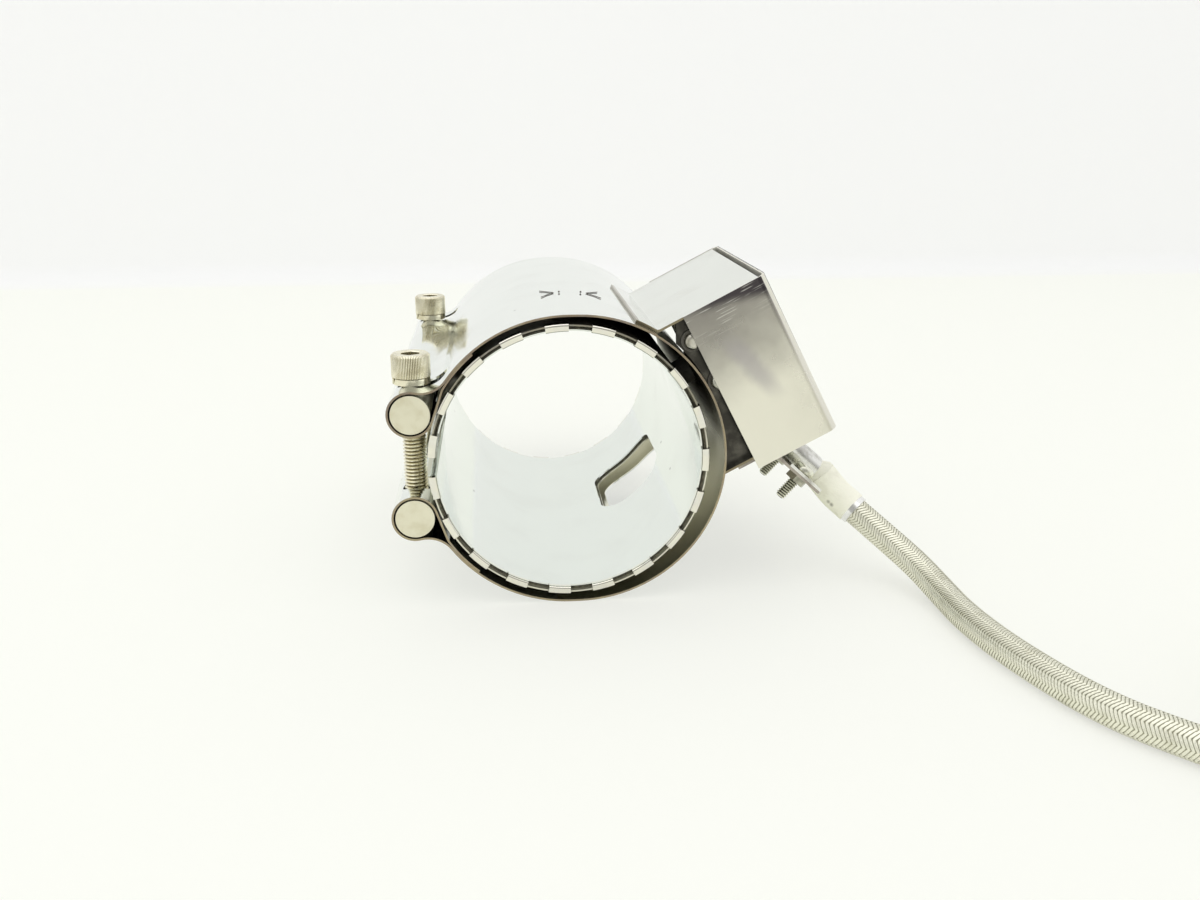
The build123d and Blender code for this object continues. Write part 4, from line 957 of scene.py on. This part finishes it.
# %% [markdown]
# The supply cable is one smooth line: it drops out of its sleeve, bends on to the table and runs away to the
# right. The rest of its length lies in a coil outside the view. A NURBS spline carries the route's points,
# and its own points then carry the tube.

# %% Cable route
CABLE_DIAMETER = 0.010
CABLE_ROUTE = (
    (0.1040, -0.0565, -0.0260),
    (0.1125, -0.0635, -0.0330),
    (0.1220, -0.0770, -0.0405),
    (0.1260, -0.0940, -0.0450),
    (0.1260, -0.1120, -0.0450),
    (0.1300, -0.1380, -0.0450),
    (0.1400, -0.1700, -0.0450),
    (0.1545, -0.1895, -0.0450),
    (0.1745, -0.2110, -0.0450),
    (0.1915, -0.2325, -0.0450),
)
COIL_RADIUS = 0.050
COIL_TURNS = 2.4
COIL_PITCH = 0.0104
COIL_STEPS_A_TURN = 24


def coil_points(route):
    """Points round the coil: it starts along the route's last run and climbs one pitch a turn."""
    last = np.array(route[-1])
    way = last - np.array(route[-2])
    way = way / np.linalg.norm(way)
    centre = last[:2] + COIL_RADIUS * np.array([-way[1], way[0]])
    start = math.atan2(*(last[:2] - centre)[::-1])
    share = np.arange(1, round(COIL_TURNS * COIL_STEPS_A_TURN) + 1) / COIL_STEPS_A_TURN
    angle = start + 2 * math.pi * share
    height = last[2] + COIL_PITCH * share
    return np.stack(
        [centre[0] + COIL_RADIUS * np.cos(angle), centre[1] + COIL_RADIUS * np.sin(angle), height], axis=-1
    )


def nurbs_line(points):
    """The smooth line of a NURBS spline with these control points, as an array of points."""
    curve = bpy.data.curves.new("route", "CURVE")
    curve.dimensions = "3D"
    curve.resolution_u = 12
    spline = curve.splines.new("NURBS")
    spline.points.add(len(points) - 1)
    weighted = np.c_[points, np.ones(len(points))]
    spline.points.foreach_set("co", weighted.astype(np.float32).ravel())
    spline.order_u = 3
    spline.use_endpoint_u = True
    holder = bpy.data.objects.new("route", curve)
    scene.collection.objects.link(holder)
    mesh = bpy.data.meshes.new_from_object(holder.evaluated_get(bpy.context.evaluated_depsgraph_get()))
    line = np.zeros(len(mesh.vertices) * 3, np.float32)
    mesh.vertices.foreach_get("co", line)
    bpy.data.objects.remove(holder)
    return line.reshape(-1, 3).astype(float)


def distance_along(line):
    """The distance of each point of a line from its start."""
    return np.concatenate([[0], np.cumsum(np.linalg.norm(np.diff(line, axis=0), axis=1))])


def at_distances(line, distances):
    """Points at given distances along a line."""
    reach = distance_along(line)
    return np.stack([np.interp(distances, reach, line[:, axis]) for axis in range(3)], axis=-1)


route = np.concatenate([np.array(CABLE_ROUTE), coil_points(CABLE_ROUTE)])
cable_line = nurbs_line(route)

# %% [markdown]
# A bright steel band ties the coil where three of its turns lie on each other. It is one closed strip that
# follows the turns' outline, and it is wider and thicker where its end is crimped.

# %% Coil tie
TIE_STEP = 4
TIE_WIDTH = 0.005
TIE_THICKNESS = 0.0006
CRIMP_WIDTH = 0.008
CRIMP_THICKNESS = 0.0022
CRIMP_HALF_LENGTH = 0.003
CRIMP_SLOPE = 0.0008
TIE_STEPS = 120
TIE_CORNERS = 24
TIE_SQUARENESS = 0.3
SEAM_GAP = 1e-6
UP = np.array([0.0, 0.0, 1.0])


def stacked_turns():
    """The cable's own points where its turns lie on each other, and the way out from the coil's middle."""
    points = coil_points(CABLE_ROUTE)
    stack = points[TIE_STEP::COIL_STEPS_A_TURN]
    apart = np.linalg.norm(cable_line[None, :, :] - stack[:, None, :], axis=2)
    outwards = stack[0] - points[:COIL_STEPS_A_TURN].mean(axis=0)
    outwards[2] = 0
    return cable_line[apart.argmin(axis=1)], outwards / np.linalg.norm(outwards)


def tie_loop(half_height):
    """The line round the turns, out and up from their middle, and each point's distance from the crimp."""
    turn = np.linspace(0, 2 * math.pi, 8 * TIE_STEPS + 1)
    lift = half_height * np.sign(np.round(np.sin(turn), 6))
    reach = CABLE_DIAMETER / 2
    loop = np.stack([reach * np.cos(turn), reach * np.sin(turn) + lift, 0 * turn], axis=-1)
    along = np.linspace(0, distance_along(loop)[-1], TIE_STEPS + 1)
    return at_distances(loop, along)[:-1, :2], np.minimum(along, along[-1] - along)[:-1]


def rounded_square(turn):
    """Sides of a square with rounded corners, from -1 to 1."""
    corner = np.stack([np.cos(turn), np.sin(turn)])
    return np.sign(corner) * np.abs(corner) ** TIE_SQUARENESS


def sealed(mesh):
    """The mesh with the points of its seam joined and its faces turned outwards."""
    joined = bmesh.new()
    joined.from_mesh(mesh)
    bmesh.ops.remove_doubles(joined, verts=joined.verts, dist=SEAM_GAP)
    bmesh.ops.recalc_face_normals(joined, faces=joined.faces)
    joined.to_mesh(mesh)
    joined.free()
    return mesh


def tie_mesh():
    """The strip swept round its loop, closed both ways."""
    turns, outwards = stacked_turns()
    loop, from_crimp = tie_loop(np.ptp(turns[:, 2]) / 2)
    way = np.roll(loop, -1, axis=0) - np.roll(loop, 1, axis=0)
    normal = np.stack([way[:, 1], -way[:, 0]], axis=-1) / np.linalg.norm(way, axis=1, keepdims=True)
    crimp = np.clip(1 - (from_crimp - CRIMP_HALF_LENGTH) / CRIMP_SLOPE, 0, 1)
    width = TIE_WIDTH + (CRIMP_WIDTH - TIE_WIDTH) * crimp
    thickness = TIE_THICKNESS + (CRIMP_THICKNESS - TIE_THICKNESS) * crimp
    across, depth = rounded_square(np.linspace(0, 2 * math.pi, TIE_CORNERS + 1))
    rise = (depth[:, None] + 1) / 2 * thickness[None, :]
    flat = loop[None, :, :] + rise[:, :, None] * normal[None, :, :]
    shift = across[:, None, None] * width[None, :, None] / 2 * np.cross(UP, outwards)
    middle = (turns.min(axis=0) + turns.max(axis=0)) / 2
    points = middle + shift + flat[:, :, :1] * outwards + flat[:, :, 1:] * UP
    return sealed(grid_mesh("coil_tie", points, closed=True))


coil_tie = add_piece("coil_tie", tie_mesh(), ferrule_bright)
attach(coil_tie, "heater")

# %% [markdown]
# The braid is a herringbone: bands of wires run along the cable and lean left and right in turn. The tube's
# radius follows that pattern, finely where the camera sees it and coarsely in the coil. The material repeats
# it with finer wires from the same surface coordinates, distance round the cable and along it.

# %% Braided cable
BANDS = 10
POINTS_A_BAND = 5
PICK = 0.00115
LEAN = 1.5
RELIEF = 0.00035
SEEN_LENGTH = 0.235
SEEN_STEP = 0.00023
COIL_STEP = 0.00078
PATH_EVERY = 6
WIRES_A_BUNDLE = 4
WIRE_RELIEF = 0.25
BUNDLE_ROUNDNESS = 0.6
BAND_CROWN = 0.3
CROWN_SHADE = (0.6, 1.0)
BRAID_POLISH = (0.5, 0.26)
BRAID_BUMP = (0.4, 0.0003)
WIRE_COLOURS = ((0.03, (0.12, 0.11, 0.075)), (0.25, (0.55, 0.54, 0.41)), (0.52, (0.90, 0.89, 0.75)))
TARNISH_TONE = (0.40, 0.38, 0.25, 1)
TARNISH_SHARE = 0.25
TARNISH_SCALE = 190.0
TARNISH_RISE = (0.5, 0.75)


def herringbone(share_round, along):
    """1 on the crown of a wire bundle, 0 between bundles; bands lean left and right in turn."""
    band = np.floor(share_round * BANDS)
    side = share_round * BANDS - band - 0.5
    lean = np.where(band % 2 == 0, LEAN, -LEAN)
    phase = along / PICK + lean * side
    crown = 1 - BAND_CROWN + BAND_CROWN * np.cos(math.pi * side)
    return np.abs(np.sin(math.pi * phase)) ** BUNDLE_ROUNDNESS * crown


def braided_tube(line):
    """A tube along a line whose radius follows the herringbone."""
    length = distance_along(line)[-1]
    seen = np.arange(0, SEEN_LENGTH, SEEN_STEP)
    coiled = np.linspace(SEEN_LENGTH, length, round((length - SEEN_LENGTH) / COIL_STEP))
    along = np.concatenate([seen, coiled])
    middle = at_distances(line, along)
    way = np.gradient(middle, axis=0)
    way /= np.linalg.norm(way, axis=1, keepdims=True)
    side = np.cross(way, UP)
    side /= np.linalg.norm(side, axis=1, keepdims=True)
    up = np.cross(side, way)
    count = BANDS * POINTS_A_BAND
    share = np.arange(count) / count
    crown = herringbone(share[None, :] + 0.5 / count, along[:, None])
    radius = CABLE_DIAMETER / 2 - RELIEF * (1 - crown)
    turn = 2 * math.pi * share[None, :, None]
    spoke = np.cos(turn) * side[:, None, :] + np.sin(turn) * up[:, None, :]
    points = middle[:, None, :] + radius[:, :, None] * spoke
    uvs = (np.arange(count + 1) / count, along)
    return grid_mesh("braided_cable", points, uvs, closed=True), middle[::PATH_EVERY]


def braid_material():
    """Bright wires over dark gaps, following the herringbone on the surface coordinates; the dark gaps and
    darker band edges are painted shade.
    """
    material, tree, shader, spot = start_material("wire_braid", Metallic=0.75)
    flat = place(tree, "ShaderNodeSeparateXYZ", {0: spot["UV"]}).outputs
    rounds = maths(tree, "MULTIPLY", flat["X"], float(BANDS))
    side = maths(tree, "SUBTRACT", maths(tree, "FRACT", rounds), 0.5)
    odd = maths(tree, "MODULO", maths(tree, "FLOOR", rounds), 2.0)
    lean = between(tree, odd, LEAN, -LEAN)
    phase = maths(tree, "ADD", maths(tree, "DIVIDE", flat["Y"], PICK), maths(tree, "MULTIPLY", lean, side))
    bundle = maths(tree, "ABSOLUTE", maths(tree, "SINE", maths(tree, "MULTIPLY", phase, math.pi)))
    fine_phase = maths(tree, "MULTIPLY", phase, WIRES_A_BUNDLE * math.pi)
    wires = maths(tree, "ABSOLUTE", maths(tree, "SINE", fine_phase))
    crown = between(tree, maths(tree, "COSINE", maths(tree, "MULTIPLY", side, math.pi)), *CROWN_SHADE)
    body = maths(tree, "MULTIPLY", bundle, crown)
    tarnish = soft_step(tree, noise(tree, spot["Object"], TARNISH_SCALE, 4.0), *TARNISH_RISE)
    # The colour ramp paints shade: near black between bundles.
    wire = colour_ramp(tree, body, WIRE_COLOURS)
    colour = mix_colours(tree, maths(tree, "MULTIPLY", tarnish, TARNISH_SHARE), wire, TARNISH_TONE)
    tree.links.new(colour, shader.inputs["Base Color"])
    tree.links.new(between(tree, body, *BRAID_POLISH), shader.inputs["Roughness"])
    height = maths(tree, "ADD", body, maths(tree, "MULTIPLY", wires, WIRE_RELIEF))
    bump(tree, shader, height, *BRAID_BUMP)
    return material


cable_mesh, cable_path = braided_tube(cable_line)
cable = add_piece("braided_cable", cable_mesh, braid_material())
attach(cable, "heater")
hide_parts("cable", "cable_coil")
print("cable faces:", len(cable_mesh.polygons))
